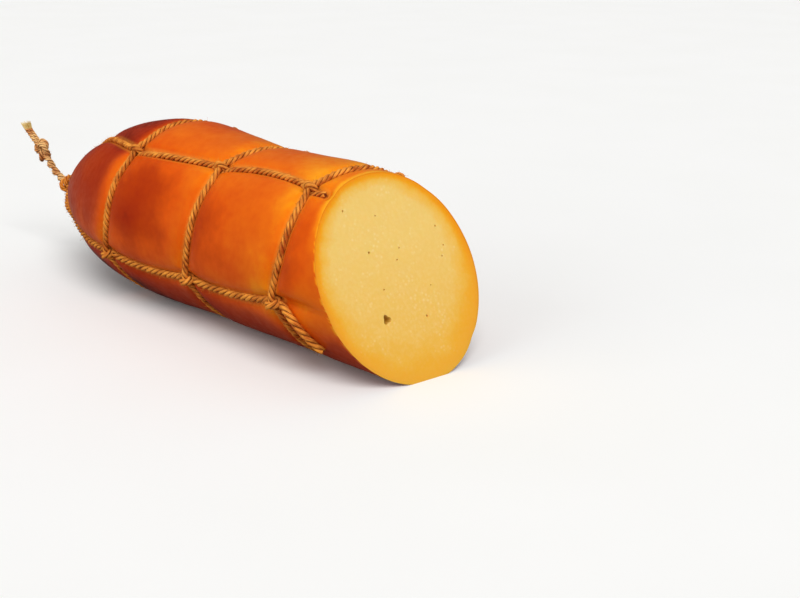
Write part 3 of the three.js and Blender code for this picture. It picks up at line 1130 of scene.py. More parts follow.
@dataclass
class CheeseLog:
    """The cheese itself: swollen rind between the twines and the cut face.

    Attributes:
        shape: its shape.
        rind: finish of its skin.
        paste: finish of its cut face.
        dye: how smoke dyes the skin, with painted shade and painted light laid in.
        fine_step: mesh step beside the twine.
        coarse_step: mesh step far from it.
        near_twine: how far from the twine the step begins to grow.
        step_growth: length over which it grows.
        swell: height of the skin's unevenness.
        broad_mm: size of its broad waves.
        small_mm: size of its small ones.
        calm: share of its unevenness that is left beside the twine.
        face_grid: mesh step of the cut face.
        insets: distance from the rim of each loop of points that follows it.
        loop_gap: gap between the innermost loop and the grid.
        eye_gap: gap between an eye and the grid.
        ring_gap: distance of the ring of points round an eye from its mouth.
        rounding: how far the cut face falls off at its rim.
        rounding_reach: how far from the rim that reaches.
        waves: height of the cut face's waves.
        wave_mm: length of the waves.
        wave_stretch: how much shorter they are in Z than in Y.
        wave_reach: distance from the rim at which they are fully high.
        bowl: width and depth of each step down into an eye, as shares of its
            mouth's width and of its radius; the last is a single point.
        eyes: the hollows in the cut face.
        seam: points of the rim nearer than this are merged.
        sharp_degrees: edges sharper than this stay sharp.
        no_twine: distance to the twine that the cut face gets.
    """

    shape: LogShape
    rind: SmokedRind = SmokedRind()
    paste: CutPaste = CutPaste()
    dye: SmokeDyeAndPaintedShading = SmokeDyeAndPaintedShading()
    fine_step: float = 0.9
    coarse_step: float = 2.8
    near_twine: float = 9.0
    step_growth: float = 12.0
    swell: float = 0.55
    broad_mm: float = 46.0
    small_mm: float = 17.0
    calm: float = 0.35
    face_grid: float = 2.1
    insets: tuple[float, ...] = (0.4, 1.1, 2.2, 3.8)
    loop_gap: float = 1.2
    eye_gap: float = 0.5
    ring_gap: float = 0.9
    rounding: float = 0.2
    rounding_reach: float = 2.5
    waves: float = 0.16
    wave_mm: float = 18.0
    wave_stretch: float = 2.2
    wave_reach: float = 4.0
    bowl: tuple[tuple[float, float], ...] = ((0.93, 0.22), (0.8, 0.46), (0.6, 0.68), (0.35, 0.8), (0.0, 0.05))
    eyes: tuple[Eye, ...] = (
        Eye(-18.8, 38.9, 2.7, 0.5), Eye(-17.9, 77.7, 0.95), Eye(12.3, 35.3, 0.85), Eye(39.0, 85.0, 0.8),
        Eye(-28.5, 103.5, 0.8), Eye(-14.6, 55.6, 0.7), Eye(1.6, 70.5, 0.7), Eye(5.8, 76.9, 0.6),
        Eye(-5.5, 97.5, 0.6), Eye(41.1, 73.1, 0.65), Eye(37.7, 67.0, 0.7), Eye(22.0, 52.0, 0.5),
    )
    seam: float = 0.02
    sharp_degrees: float = 50.0
    no_twine: float = 30.0

    def step(self, distance: float) -> float:
        """Mesh step at a distance from the nearest twine, in millimetres."""
        share = min(1.0, max(0.0, (distance - self.near_twine) / self.step_growth))
        return self.fine_step + (self.coarse_step - self.fine_step) * share

    def rows(self) -> Array:
        """Place the mesh rows.

        Returns:
            Positions along the log, from the tip to the cut.
        """
        stops = [s.x for s in self.shape.sections[:-1]]
        near, first = 0.03, self.shape.tip_x + 0.05
        x, found = self.shape.cut.x, []
        while x > first:
            found.append(x)
            beside = np.array([x - near, x + near])
            r = self.shape.radius(beside) * self.shape.cap(beside)
            slope = abs(r[1] - r[0]) / (2 * near)
            x -= self.step(min(abs(x - s) for s in stops)) / math.sqrt(1 + slope**2)
        return np.array(found[::-1])

    def columns(self) -> Array:
        """Place the mesh columns.

        Returns:
            For each, a strand's number plus the share of the way to the next.
        """
        found, middle = [], np.array([0.0])
        angles = [math.degrees(float(self.shape.strand_angle(s.value, middle)[0])) for s in Strand]
        for k, start in enumerate(angles):
            width = math.radians((angles[(k + 1) % len(angles)] - start) % 360) * self.shape.cut.radius
            at = 0.0
            while at < width - 0.5 * self.fine_step:
                found.append(k + at / width)
                at += self.step(min(at, width - at))
        return np.array(found)

    def angles(self, x: Array, columns: Array) -> Array:
        """Work out the angle of each column on each row.

        Args:
            x: position of each row.
            columns: the columns.

        Returns:
            Rows x columns angles in radians.
        """
        base = [self.shape.strand_angle(s.value, x) for s in Strand]
        result = np.empty((len(x), len(columns)))
        for j, column in enumerate(columns):
            k = int(column)
            gap = np.mod(base[(k + 1) % len(base)] - base[k], 2 * np.pi)
            result[:, j] = base[k] + gap * (column - k)
        return result

    def skin(self, x: Array, angle: Array, depth: Array) -> Array:
        """Points of the skin, at a depth below the body's bare skin."""
        return self.shape.capped(self.shape.below_skin(x, angle, depth).reshape(-1, 3), x)

    def rind_mesh(self) -> tuple[Array, list[tuple[int, ...]], dict[str, Array], Array]:
        """Make the rind's surface.

        Returns:
            Its points, faces, attributes, and the points of the cut's rim.
        """
        rows, columns = self.rows(), self.columns()
        angle = self.angles(rows, columns)
        x = rows[:, None] + self.shape.row_shift(rows[:, None] + 0 * angle, angle)
        depth = self.shape.surface_depth(x, angle)
        flat = self.skin(x, angle, depth)
        broad = noise_field(flat, self.broad_mm, 3.1).reshape(x.shape)
        small = noise_field(flat, self.small_mm, 8.7).reshape(x.shape)
        twine = self.shape.net_distance(x, angle)
        uneven = self.swell * (broad + 0.3 * small) * (self.calm + (1 - self.calm) * ramp(twine, 3, 15))
        points = self.skin(x, angle, depth - uneven)

        count, width = len(rows), len(columns)
        index = np.arange(count * width).reshape(count, width)
        beside = np.roll(index, -1, axis=1)
        corners = [index[:-1], beside[:-1], beside[1:], index[1:]]
        faces = [tuple(f) for f in np.stack(corners, -1).reshape(-1, 4).tolist()]
        faces += [(len(points), int(b), int(a)) for a, b in zip(index[0], beside[0])]
        tip = np.array([self.shape.tip_x])
        points = np.vstack([points, np.stack([tip, *self.shape.middle(tip)], -1)])
        # the smoke values hold the dye with painted shade and painted light laid in
        attributes = {
            "smoke": np.append(self.dye.depth(self.shape, x, angle).ravel(), 1.0),
            "net_distance": np.append(twine.ravel(), 0.0),
        }
        return points, faces, attributes, points[index[-1]]

    def face_net(self, outline: Array, mouths: list[Array]) -> tuple[Array, list[tuple[int, ...]]]:
        """Cover the cut face with triangles, but not the eyes' mouths.

        Args:
            outline: Y and Z of the rim's points.
            mouths: outline of each eye's mouth.

        Returns:
            Points as Y and Z, and the triangles.
        """
        centre = self.face_middle()
        away = outline - centre
        reach = np.linalg.norm(away, axis=1, keepdims=True)
        loops = [outline, *(centre + away * (1 - inset / reach) for inset in self.insets)]
        spread = random_grid(centre, self.shape.cut.radius, self.face_grid, seed=11)
        clear = np.array([in_outline(p[0], p[1], loops[-1]) for p in spread])
        clear &= outline_distance(spread, loops[-1]) > self.loop_gap
        for eye in self.eyes:
            clear &= np.linalg.norm(spread - eye.middle, axis=1) > eye.radius * 1.25 + self.eye_gap
        beside = [
            eye.middle + (mouth - eye.middle) * (1 + self.ring_gap / eye.radius)
            for eye, mouth in zip(self.eyes, mouths)
        ]
        edges, start = [], 0
        for loop in (*loops, *mouths):
            edges += [(start + i, start + (i + 1) % len(loop)) for i in range(len(loop))]
            start += len(loop)
        flat = np.vstack([*loops, *mouths, *beside, spread[clear]])
        result = geometry.delaunay_2d_cdt([Vector(p) for p in flat], edges, [], 1, 1e-5)

        plane, faces = np.array([tuple(p) for p in result[0]]), []
        for triangle in result[2]:
            corner = plane[list(triangle)]
            y, z = corner.mean(0)
            if not any(in_outline(y, z, mouth) for mouth in mouths):
                a, b = corner[1] - corner[0], corner[2] - corner[0]
                outward = a[0] * b[1] - a[1] * b[0] > 0
                faces.append(tuple(triangle) if outward else tuple(triangle)[::-1])
        return plane, faces

    def face_middle(self) -> Array:
        """Y and Z of the cut face's middle."""
        return np.array([float(v[0]) for v in self.shape.middle(np.array([self.shape.cut.x]))])

    def face_mesh(self, rim: Array) -> tuple[Array, list[tuple[int, ...]], dict[str, Array]]:
        """Make the cut face inside its rim, with its eyes hollowed out.

        Args:
            rim: points of the rind's last row.

        Returns:
            Points, faces and attributes of the face.
        """
        mouths = [eye.mouth(i) for i, eye in enumerate(self.eyes)]
        plane, faces = self.face_net(rim[:, 1:], mouths)
        edge = outline_distance(plane, rim[:, 1:])
        place = np.column_stack([plane * (1.0, self.wave_stretch), np.zeros(len(plane))])
        waves = self.waves * noise_field(place, self.wave_mm, 5.5) * ramp(edge, 0, self.wave_reach)
        sink = self.rounding * (1 - np.exp(-edge / self.rounding_reach)) - waves

        draft = FaceDraft([tuple(p) for p in plane], list(sink), [0.0] * len(plane), list(edge), faces)
        for eye, mouth in zip(self.eyes, mouths):
            ring = [int(np.argmin(np.linalg.norm(plane - p, axis=1))) for p in mouth]
            draft.add_bowl(eye, ring, self.bowl)
        cut, flat = self.shape.cut, np.array(draft.flat)
        along = cut.x + (flat - self.face_middle()) @ np.array([cut.lean_y, cut.lean_z])
        normal = np.array([1.0, -cut.lean_y, -cut.lean_z])
        normal /= np.linalg.norm(normal)
        solid = np.column_stack([along, flat]) - np.outer(draft.sink, normal)
        return solid, draft.faces, {"rim_distance": np.array(draft.edge), "eye_depth": np.array(draft.depth)}

    def build(self) -> bpy.types.Object:
        """Make the cheese as one closed mesh with a rind and a cut face.

        Returns:
            The piece.
        """
        points, faces, skin, rim = self.rind_mesh()
        face_points, face_faces, face = self.face_mesh(rim)
        shifted = [tuple(i + len(points) for i in f) for f in face_faces]
        finishes = [self.rind.build(), self.paste.build()]
        made = mesh_object("cheese_body", np.vstack([points, face_points]), [*faces, *shifted], finishes)
        mesh = made.data
        which = np.zeros(len(mesh.polygons), dtype=np.int32)
        which[len(faces):] = 1
        mesh.polygons.foreach_set("material_index", which)
        inner, outer = np.zeros(len(face_points)), np.zeros(len(points))
        # the smoke attribute also carries painted shade and painted light
        store_floats(mesh, "smoke", np.append(skin["smoke"], inner))
        store_floats(mesh, "net_distance", np.append(skin["net_distance"], inner + self.no_twine))
        store_floats(mesh, "rim_distance", np.append(outer, face["rim_distance"]))
        store_floats(mesh, "eye_depth", np.append(outer, face["eye_depth"]))
        close_seams(mesh, self.seam)
        mesh.set_sharp_from_angle(angle=math.radians(self.sharp_degrees))
        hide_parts("cheese")
        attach(made, "root")
        return made


def random_grid(centre: Array, reach: float, step: float, seed: int) -> Array:
    """Points of a jittered triangular grid.

    Args:
        centre: middle of the grid.
        reach: half width of the square that it covers.
        step: distance between neighbours.
        seed: seed of the jitter.

    Returns:
        N x 2 points.
    """
    row_share, jitter = 0.866, 0.22
    rng = np.random.default_rng(seed)
    rows = np.arange(-reach, reach, step * row_share)
    columns = np.arange(-reach, reach, step)
    y, z = np.meshgrid(columns, rows)
    y = y + 0.5 * step * (np.arange(len(rows)) % 2)[:, None]
    flat = np.stack([y.ravel(), z.ravel()], -1)
    return centre + flat + rng.uniform(-jitter, jitter, flat.shape) * step


def close_seams(mesh: bpy.types.Mesh, distance_mm: float) -> None:
    """Merge doubled points of a mesh, in place.

    Args:
        mesh: mesh to close.
        distance_mm: points nearer than this are merged.
    """
    work = bmesh.new()
    work.from_mesh(mesh)
    bmesh.ops.remove_doubles(work, verts=work.verts, dist=distance_mm * MM)
    work.to_mesh(mesh)
    work.free()


# -------------------------------------------------------------------- twine


@dataclass(frozen=True)
class TwineLay:
    """How a twine is laid up from its plies, in millimetres.

    Attributes:
        plies: number of plies.
        ply_radius: radius of one ply.
        offset: distance of a ply's middle from the twine's middle.
        lay: length of one full turn; negative turns to the left.
        step: distance between rings of the mesh.
        sides: sides of each ply.
        hairs: stray fibres per square centimetre.
        hair_length: length of a stray fibre.
        hair_radius: its radius.
    """

    plies: int = 3
    ply_radius: float = 1.1
    offset: float = 1.16
    lay: float = -14.0
    step: float = 0.8
    sides: int = 12
    hairs: float = 9.0
    hair_length: float = 3.2
    hair_radius: float = 0.07


class NodeTool:
    """Geometry node tree whose named inputs can be set on a modifier."""

    name = "tool"
    inputs: dict[str, str] = {}

    def __init__(self) -> None:
        """Make the tree with its inputs, its nodes and its result."""
        self.tree = bpy.data.node_groups.new(self.name, "GeometryNodeTree")
        self.sockets: dict[str, str] = {}
        for name, kind in self.inputs.items():
            item = self.tree.interface.new_socket(name, in_out="INPUT", socket_type="NodeSocket" + kind)
            self.sockets[name] = item.identifier
        self.tree.interface.new_socket("Result", in_out="OUTPUT", socket_type="NodeSocketGeometry")
        self.node = partial(add_node, self.tree)
        self.given = self.node("NodeGroupInput").outputs
        made = self.node("RealizeInstances", {"Geometry": self.grow()})
        made = self.node("SetShadeSmooth", {"Geometry": made, "Shade Smooth": True})
        made = self.node("SetMaterial", {"Geometry": made, "Material": self.given["Material"]})
        self.node("NodeGroupOutput", (made,))

    def grow(self) -> bpy.types.Node:
        """Add the nodes that make the shape.

        Returns:
            The node whose first output is the shape.
        """
        raise NotImplementedError


class PliedTwineTree(NodeTool):
    """Lays up plies along a curve and stands stray fibres on them."""

    name = "plied_twine"
    inputs = {
        "Path": "Geometry", "Plies": "Int", "Ply Radius": "Float", "Ply Offset": "Float",
        "Turns Per Metre": "Float", "Step": "Float", "Sides": "Int", "Hair Density": "Float",
        "Hair Length": "Float", "Hair Radius": "Float", "Seed": "Int", "Material": "Material",
    }
    lumps_per_metre = 260.0

    def grow(self) -> bpy.types.Node:
        """Add the plies and the fibres.

        Returns:
            The node whose first output is the twine.
        """
        plies = self.plies()
        joined = self.node("JoinGeometry", (plies,))
        self.tree.links.new(self.hairs(plies).outputs[0], joined.inputs[0])
        return joined

    def plies(self) -> bpy.types.Node:
        """Add the nodes that lay up the plies.

        Returns:
            The node whose first output is the plies' mesh.
        """
        node, given = self.node, self.given
        even = node("ResampleCurve", {"Curve": given["Path"], "Length": given["Step"]}, mode="LENGTH")
        copies = node("DuplicateElements", {"Geometry": even, "Amount": given["Plies"]}, domain="SPLINE")
        number = copies.outputs["Duplicate Index"]
        length = node("SplineParameter").outputs["Length"]
        place = node("InputPosition")
        shape = copies.outputs["Geometry"]
        kept = (("along", "FLOAT", length), ("tint", "FLOAT", number), ("centre", "FLOAT_VECTOR", place))
        for name, kind, value in kept:
            shape = node(
                "StoreNamedAttribute", {"Geometry": shape, "Name": name, "Value": value}, data_type=kind
            )

        turns = node("Math", (length, given["Turns Per Metre"]), operation="MULTIPLY")
        share = node("Math", (number, given["Plies"]), operation="DIVIDE")
        turned = node("Math", (turns, share), operation="ADD")
        angle = node("Math", (turned, 2 * math.pi), operation="MULTIPLY")
        normal = node("InputNormal")
        side = node("VectorMath", (node("InputTangent"), normal), operation="CROSS_PRODUCT")
        swings = []
        for direction, wave in ((normal, "COSINE"), (side, "SINE")):
            swing = node("Math", (angle,), operation=wave)
            amount = node("Math", (swing, given["Ply Offset"]), operation="MULTIPLY")
            swings.append(node("VectorMath", (direction, amount), operation="SCALE"))
        offset = node("VectorMath", swings, operation="ADD")
        helix = node("SetPosition", {"Geometry": shape, "Offset": offset})

        ring = node(
            "CurvePrimitiveCircle", {"Resolution": given["Sides"], "Radius": given["Ply Radius"]},
            mode="RADIUS",
        )
        around = node("VectorMath", (place,), operation="NORMALIZE")
        rounded = {"Geometry": ring, "Name": "around", "Value": around}
        profile = node("StoreNamedAttribute", rounded, data_type="FLOAT_VECTOR")
        lumps = node("TexNoise", {"Vector": place, "Scale": self.lumps_per_metre, "Detail": 1.0})
        thick = node("MapRange", (lumps, 0.3, 0.7, 0.9, 1.1))
        swept = node("CurveToMesh", (helix, profile, thick, True))
        centre = node("InputNamedAttribute", {"Name": "centre"}, data_type="FLOAT_VECTOR")
        apart = node("VectorMath", (place, centre), operation="DISTANCE")
        reach = node("Math", (given["Ply Radius"], given["Ply Offset"]), operation="ADD")
        outer = node("Math", (apart, reach), operation="DIVIDE")
        return node(
            "StoreNamedAttribute", {"Geometry": swept, "Name": "outer", "Value": outer}, data_type="FLOAT"
        )

    def hairs(self, plies: bpy.types.Node) -> bpy.types.Node:
        """Add the nodes that stand fine fibres on the plies.

        Args:
            plies: node that gives the plies' mesh.

        Returns:
            The node whose first output is the fibres.
        """
        node, given = self.node, self.given
        density = {"Mesh": plies, "Density": given["Hair Density"], "Seed": given["Seed"]}
        spread = node("DistributePointsOnFaces", density, distribute_method="RANDOM")
        parts = [
            node("Math", (given["Hair Length"], share), operation="MULTIPLY")
            for share in (0.45, 0.05, 0.9, 0.42)
        ]
        middle = node("CombineXYZ", {"X": parts[0], "Z": parts[1]})
        end = node("CombineXYZ", {"X": parts[2], "Z": parts[3]})
        line = node(
            "CurveQuadraticBezier", {"Resolution": 5, "Start": (0.0, 0.0, 0.0), "Middle": middle, "End": end}
        )
        ring = node("CurvePrimitiveCircle", {"Resolution": 3, "Radius": given["Hair Radius"]}, mode="RADIUS")
        hair = node("CurveToMesh", {"Curve": line, "Profile Curve": ring, "Fill Caps": True})
        hair = node(
            "StoreNamedAttribute", {"Geometry": hair, "Name": "outer", "Value": 1.0}, data_type="FLOAT"
        )
        spin = node("RandomValue", {"Min": 0.0, "Max": 2 * math.pi, "Seed": given["Seed"]}, data_type="FLOAT")
        about = node("AxisAngleToRotation", {"Axis": (0.0, 0.0, 1.0), "Angle": spin})
        turned = node(
            "RotateRotation", {"Rotation": spread.outputs["Rotation"], "Rotate By": about},
            rotation_space="LOCAL",
        )
        other = node("Math", (given["Seed"], 7.0), operation="ADD")
        size = node("RandomValue", {"Min": 0.4, "Max": 1.2, "Seed": other}, data_type="FLOAT")
        return node(
            "InstanceOnPoints", {"Points": spread, "Instance": hair, "Rotation": turned, "Scale": size}
        )


class FrayTree(NodeTool):
    """Fans loose fibres out along a curve."""

    name = "frayed_end"
    inputs = {
        "Path": "Geometry", "Fibres": "Int", "Root Radius": "Float", "Spread": "Float",
        "Curl": "Float", "Fibre Radius": "Float", "Seed": "Int", "Material": "Material",
    }

    def grow(self) -> bpy.types.Node:
        """Add the nodes that make the fibres.

        Returns:
            The node whose first output is the fibres' mesh.
        """
        node, given = self.node, self.given
        axis = node("ResampleCurve", {"Curve": given["Path"], "Count": 9}, mode="COUNT")
        copies = node("DuplicateElements", {"Geometry": axis, "Amount": given["Fibres"]}, domain="SPLINE")
        number = copies.outputs["Duplicate Index"]
        factor = node("SplineParameter").outputs["Factor"]
        # random numbers that stay the same along one fibre
        short, angle, out = (
            node("RandomValue", {
                "Min": low, "Max": high, "ID": number,
                "Seed": node("Math", (given["Seed"], float(i)), operation="ADD"),
            }, data_type="FLOAT")
            for i, (low, high) in enumerate(((0.62, 1.0), (0.0, 2 * math.pi), (0.05, 1.0)))
        )
        reach = node("Math", (factor, short), operation="MULTIPLY")
        sample = node(
            "SampleCurve", {"Curves": axis, "Factor": reach}, mode="FACTOR", data_type="FLOAT",
            use_all_curves=True,
        )
        tangent, normal = sample.outputs["Tangent"], sample.outputs["Normal"]
        side = node("VectorMath", (tangent, normal), operation="CROSS_PRODUCT")

        even = node("Math", (out, 0.5), operation="POWER")
        opening = node("Math", (reach, 1.4), operation="POWER")
        flare = node("Math", (given["Spread"], opening, given["Root Radius"]), operation="MULTIPLY_ADD")
        radius = node("Math", (even, flare), operation="MULTIPLY")
        turned = node("Math", (reach, 0.8, angle), operation="MULTIPLY_ADD")
        place = sample.outputs["Position"]
        for direction, wave in ((normal, "COSINE"), (side, "SINE")):
            swing = node("Math", (turned,), operation=wave)
            amount = node("Math", (swing, radius), operation="MULTIPLY")
            aside = node("VectorMath", (direction, amount), operation="SCALE")
            place = node("VectorMath", (place, aside), operation="ADD")

        apart = node("Math", (number, 0.37), operation="MULTIPLY")
        shift = node("CombineXYZ", {"X": apart, "Y": reach, "Z": given["Seed"]})
        wave = node("TexNoise", {"Vector": shift, "Scale": 3.0, "Detail": 1.0}).outputs["Color"]
        centred = node("VectorMath", (wave, (0.5, 0.5, 0.5)), operation="SUBTRACT")
        amount = node("Math", (given["Curl"], reach), operation="MULTIPLY")
        curl = node("VectorMath", (centred, amount), operation="SCALE")
        place = node("VectorMath", (place, curl), operation="ADD")
        shape = node("SetPosition", {"Geometry": copies.outputs["Geometry"], "Position": place})
        run = node("Math", (factor, 0.012), operation="MULTIPLY")
        for name, value in (("outer", 1.0), ("tint", number), ("along", run)):
            shape = node(
                "StoreNamedAttribute", {"Geometry": shape, "Name": name, "Value": value}, data_type="FLOAT"
            )

        taper = node("MapRange", (factor, 0.5, 1.0, 1.0, 0.35))
        ring = node("CurvePrimitiveCircle", {"Resolution": 5, "Radius": given["Fibre Radius"]}, mode="RADIUS")
        return node("CurveToMesh", (shape, ring, taper, True))


def grow_on_curve(
    name: str, path: Array, cyclic: bool, grower: "PliedTwineTree | FrayTree", values: dict[str, Any]
) -> bpy.types.Mesh:
    """Run a node tree on a curve and bake the result to a plain mesh.

    Args:
        name: name of the mesh.
        path: N x 3 points of the curve, in millimetres.
        cyclic: whether the curve closes on itself.
        grower: the tree and its sockets.
        values: value of each named input.

    Returns:
        The mesh, with its material in slot 0.
    """
    curve = bpy.data.curves.new(name + "_path", "CURVE")
    curve.dimensions = "3D"
    spline = curve.splines.new("POLY")
    spline.points.add(len(path) - 1)
    flat = np.column_stack([np.asarray(path) * MM, np.ones(len(path))])
    spline.points.foreach_set("co", flat.astype(np.float32).ravel())
    spline.use_cyclic_u = cyclic
    holder = bpy.data.objects.new(name + "_path", curve)
    bpy.context.scene.collection.objects.link(holder)
    modifier = holder.modifiers.new("grow", "NODES")
    modifier.node_group = grower.tree
    for key, value in values.items():
        modifier[grower.sockets[key]] = value
    depsgraph = bpy.context.evaluated_depsgraph_get()
    depsgraph.update()
    grown = holder.evaluated_get(depsgraph)
    mesh = bpy.data.meshes.new_from_object(grown, preserve_all_data_layers=True, depsgraph=depsgraph)
    holder.modifiers.remove(modifier)
    bpy.data.objects.remove(holder)
    bpy.data.curves.remove(curve)
    mesh.name = name
    return mesh


def path_length(path: Array, cyclic: bool = False) -> float:
    """Length of a path of points, in the points' own unit."""
    points = np.vstack([path, path[:1]]) if cyclic else path
    return float(np.linalg.norm(np.diff(points, axis=0), axis=1).sum())


def twine_mesh(
    name: str,
    path: Array,
    cyclic: bool,
    lay: TwineLay,
    tree: PliedTwineTree,
    material: bpy.types.Material,
    seed: int,
) -> bpy.types.Mesh:
    """Make one twine along a path.

    Args:
        name: name of the mesh.
        path: N x 3 points of its middle, in millimetres.
        cyclic: whether it closes on itself.
        lay: how it is laid up.
        tree: tree that lays it up.
        material: its material.
        seed: seed of its stray fibres.

    Returns:
        The baked mesh.
    """
    length = path_length(path, cyclic)
    turns = length / lay.lay
    if cyclic:
        turns = round(turns)
    return grow_on_curve(name, path, cyclic, tree, {
        "Plies": lay.plies, "Ply Radius": lay.ply_radius * MM, "Ply Offset": lay.offset * MM,
        "Turns Per Metre": turns / (length * MM), "Step": lay.step * MM, "Sides": lay.sides,
        "Hair Density": lay.hairs * 1e4, "Hair Length": lay.hair_length * MM,
        "Hair Radius": lay.hair_radius * MM,
        "Seed": seed, "Material": material,
    })


def join_meshes(name: str, meshes: Sequence[bpy.types.Mesh]) -> bpy.types.Object:
    """Join baked meshes into one linked object.

    Args:
        name: name of the object.
        meshes: meshes to join; they share one material.

    Returns:
        The object.
    """
    work = bmesh.new()
    for mesh in meshes:
        work.from_mesh(mesh)
    for vertex in work.verts:
        vertex.co.z = max(vertex.co.z, ABOVE_FLOOR)
    joined = bpy.data.meshes.new(name)
    work.to_mesh(joined)
    work.free()
    joined.polygons.foreach_set("material_index", np.zeros(len(joined.polygons), dtype=np.int32))
    joined.materials.append(next(m for m in meshes[0].materials if m))
    for mesh in meshes:
        bpy.data.meshes.remove(mesh)
    joined.shade_smooth()
    made = bpy.data.objects.new(name, joined)
    bpy.context.scene.collection.objects.link(made)
    return made


def even_path(points: Array, step: float) -> Array:
    """Smooth curve through points, sampled evenly.

    Args:
        points: N x 3 points that it passes through.
        step: distance between samples.

    Returns:
        M x 3 points.
    """
    padded = np.vstack([2 * points[0] - points[1], points, 2 * points[-1] - points[-2]])
    t = np.linspace(0, 1, 24, endpoint=False)[:, None]
    fine = []
    for a, b, c, d in zip(padded, padded[1:], padded[2:], padded[3:]):
        square, cube = 2 * a - 5 * b + 4 * c - d, 3 * b - a - 3 * c + d
        fine.append(0.5 * (2 * b + (c - a) * t + square * t**2 + cube * t**3))
    dense = np.vstack([*fine, points[-1:]])
    run = np.concatenate([[0], np.cumsum(np.linalg.norm(np.diff(dense, axis=0), axis=1))])
    at = np.linspace(0, run[-1], max(2, int(run[-1] / step) + 1))
    return np.stack([np.interp(at, run, dense[:, i]) for i in range(3)], -1)


@dataclass
class TwineNet:
    """Twine net: three hoops, four lengthwise strands and a turn at each crossing.

    Attributes:
        shape: shape of the log.
        tree: tree that lays up the twines.
        material: the twines' material.
        lay: how they are laid up.
        thick_lay: how the thicker near lower strand is laid up.
        wrap_radius: radius of the turn round a hoop.
        wrap_shift: how far a strand shifts aside in that turn.
        wander: how much a hoop wanders to either side.
        wander_mm: size of its bends.
        hoop_points: points of a hoop's path.
        turn_points: points of a turn.
        path_step: distance between points of a strand's path.
        shift_length: length over which the shift aside fades.
        loose_radius: body radius near the loose end.
        least_radius: smallest body radius that the shift aside reckons with.
        crown: middle of the crown knot.
        crown_reach: radius within which the strands are hidden in it.
        loose_end: position, angle in degrees and depth of the loose end's points.
    """

    shape: LogShape
    tree: PliedTwineTree
    material: bpy.types.Material
    lay: TwineLay = TwineLay()
    thick_lay: TwineLay = TwineLay(ply_radius=1.28, offset=1.36, lay=-18.5)
    wrap_radius: float = 3.5
    wrap_shift: float = 2.8
    wander: float = 0.44
    wander_mm: float = 19.0
    hoop_points: int = 420
    turn_points: int = 22
    path_step: float = 0.9
    shift_length: float = 30.0
    loose_radius: float = 60.0
    least_radius: float = 20.0
    crown: tuple[float, float, float] = (-299.0, -6.0, 58.0)
    crown_reach: float = 5.0
    loose_end: tuple[tuple[float, float, float], ...] = (
        (58, 193.8, 1.0), (64, 196, -1.6), (67.5, 200.5, -2.0),
        (70, 206, -2.0), (72.5, 212, -2.0), (75, 218, -2.0),
    )

    def hoop_path(self, hoop: Hoop) -> Array:
        """Middle line of one hoop, in millimetres.

        Args:
            hoop: the hoop.

        Returns:
            Points of a closed path.
        """
        angle = np.linspace(0, 2 * np.pi, self.hoop_points, endpoint=False)
        x = self.shape.sections[hoop.value].x + self.shape.hoop_shift(hoop.value, angle)
        depth = self.shape.hoop_depth(hoop.value, angle)
        path = self.shape.below_skin(x, angle, depth, self.shape.lowest_twine)
        drift = noise_field(path, self.wander_mm, 20.0 + hoop.value)
        path[:, 0] += self.wander * drift
        return path

    def crossing(self, strand: Strand, hoop: Hoop) -> float:
        """Position along the log where a strand meets a hoop.

        Args:
            strand: the strand.
            hoop: the hoop.

        Returns:
            The position in millimetres.
        """
        x = np.array([self.shape.sections[hoop.value].x])
        for _ in range(8):
            x = x - self.shape.to_hoop(hoop.value, x, self.shape.strand_angle(strand.value, x))
        return float(x[0])

    def strand_path(self, strand: Strand) -> Array:
        """Middle line of one strand, with a turn round each hoop it meets.

        Args:
            strand: the strand.

        Returns:
            Its points, in millimetres.
        """
        shape, k = self.shape, strand.value
        route = shape.strands[k]
        stops = [self.crossing(strand, hoop) for hoop in Hoop]
        x, angle, depth = [], [], []
        shift, at, ahead = 0.0, shape.pole[0] + 0.3, 0.1
        while at < route.end_x:
            while stops and at >= stops[0]:
                self.add_turn(k, stops.pop(0), shift, x, angle, depth)
                shift = 1.0
            here = np.array([at])
            side = self.wrap_shift * shift / max(self.least_radius, float(shape.radius(here)[0]))
            x.append(at)
            angle.append(float(shape.strand_angle(k, here)[0]) + side)
            depth.append(float(shape.strand_depth(k, here)[0]))
            slope = (shape.radius(here + ahead) - shape.radius(here))[0] / ahead
            at += self.path_step / math.sqrt(1 + slope**2)
            shift = max(0.0, shift - self.path_step / self.shift_length)
        for stop in stops:
            self.add_turn(k, stop, shift, x, angle, depth)
        path = shape.below_skin(np.array(x), np.array(angle), np.array(depth), shape.lowest_twine)
        if strand is Strand.NEAR_LOWER:
            end_x, degrees, end_depth = np.array(self.loose_end).T
            end_angle = np.radians(degrees) + self.wrap_shift / self.loose_radius
            path = np.vstack([path, shape.below_skin(end_x, end_angle, end_depth)])
        away = np.linalg.norm(path - np.array(self.crown), axis=1)
        return path[away > self.crown_reach]

    def add_turn(
        self, k: int, stop: float, shift: float, x: list[float], angle: list[float], depth: list[float]
    ) -> None:
        """Add one turn round a hoop to a strand's path.

        Args:
            k: number of the strand.
            stop: position of the crossing.
            shift: share of the sidewise shift that the strand already has.
            x: positions so far; the turn's are appended.
            angle: angles so far.
            depth: depths so far.
        """
        here = np.array([stop])
        base = float(self.shape.strand_angle(k, here)[0])
        under = float(self.shape.strand_depth(k, here)[0])
        for turn in np.linspace(0, 2 * np.pi, self.turn_points)[1:-1]:
            share = shift + (1 - shift) * turn / (2 * np.pi)
            x.append(stop + self.wrap_radius * math.sin(turn))
            angle.append(base + self.wrap_shift * share / float(self.shape.radius(here)[0]))
            depth.append(under - self.wrap_radius * (1 - math.cos(turn)))

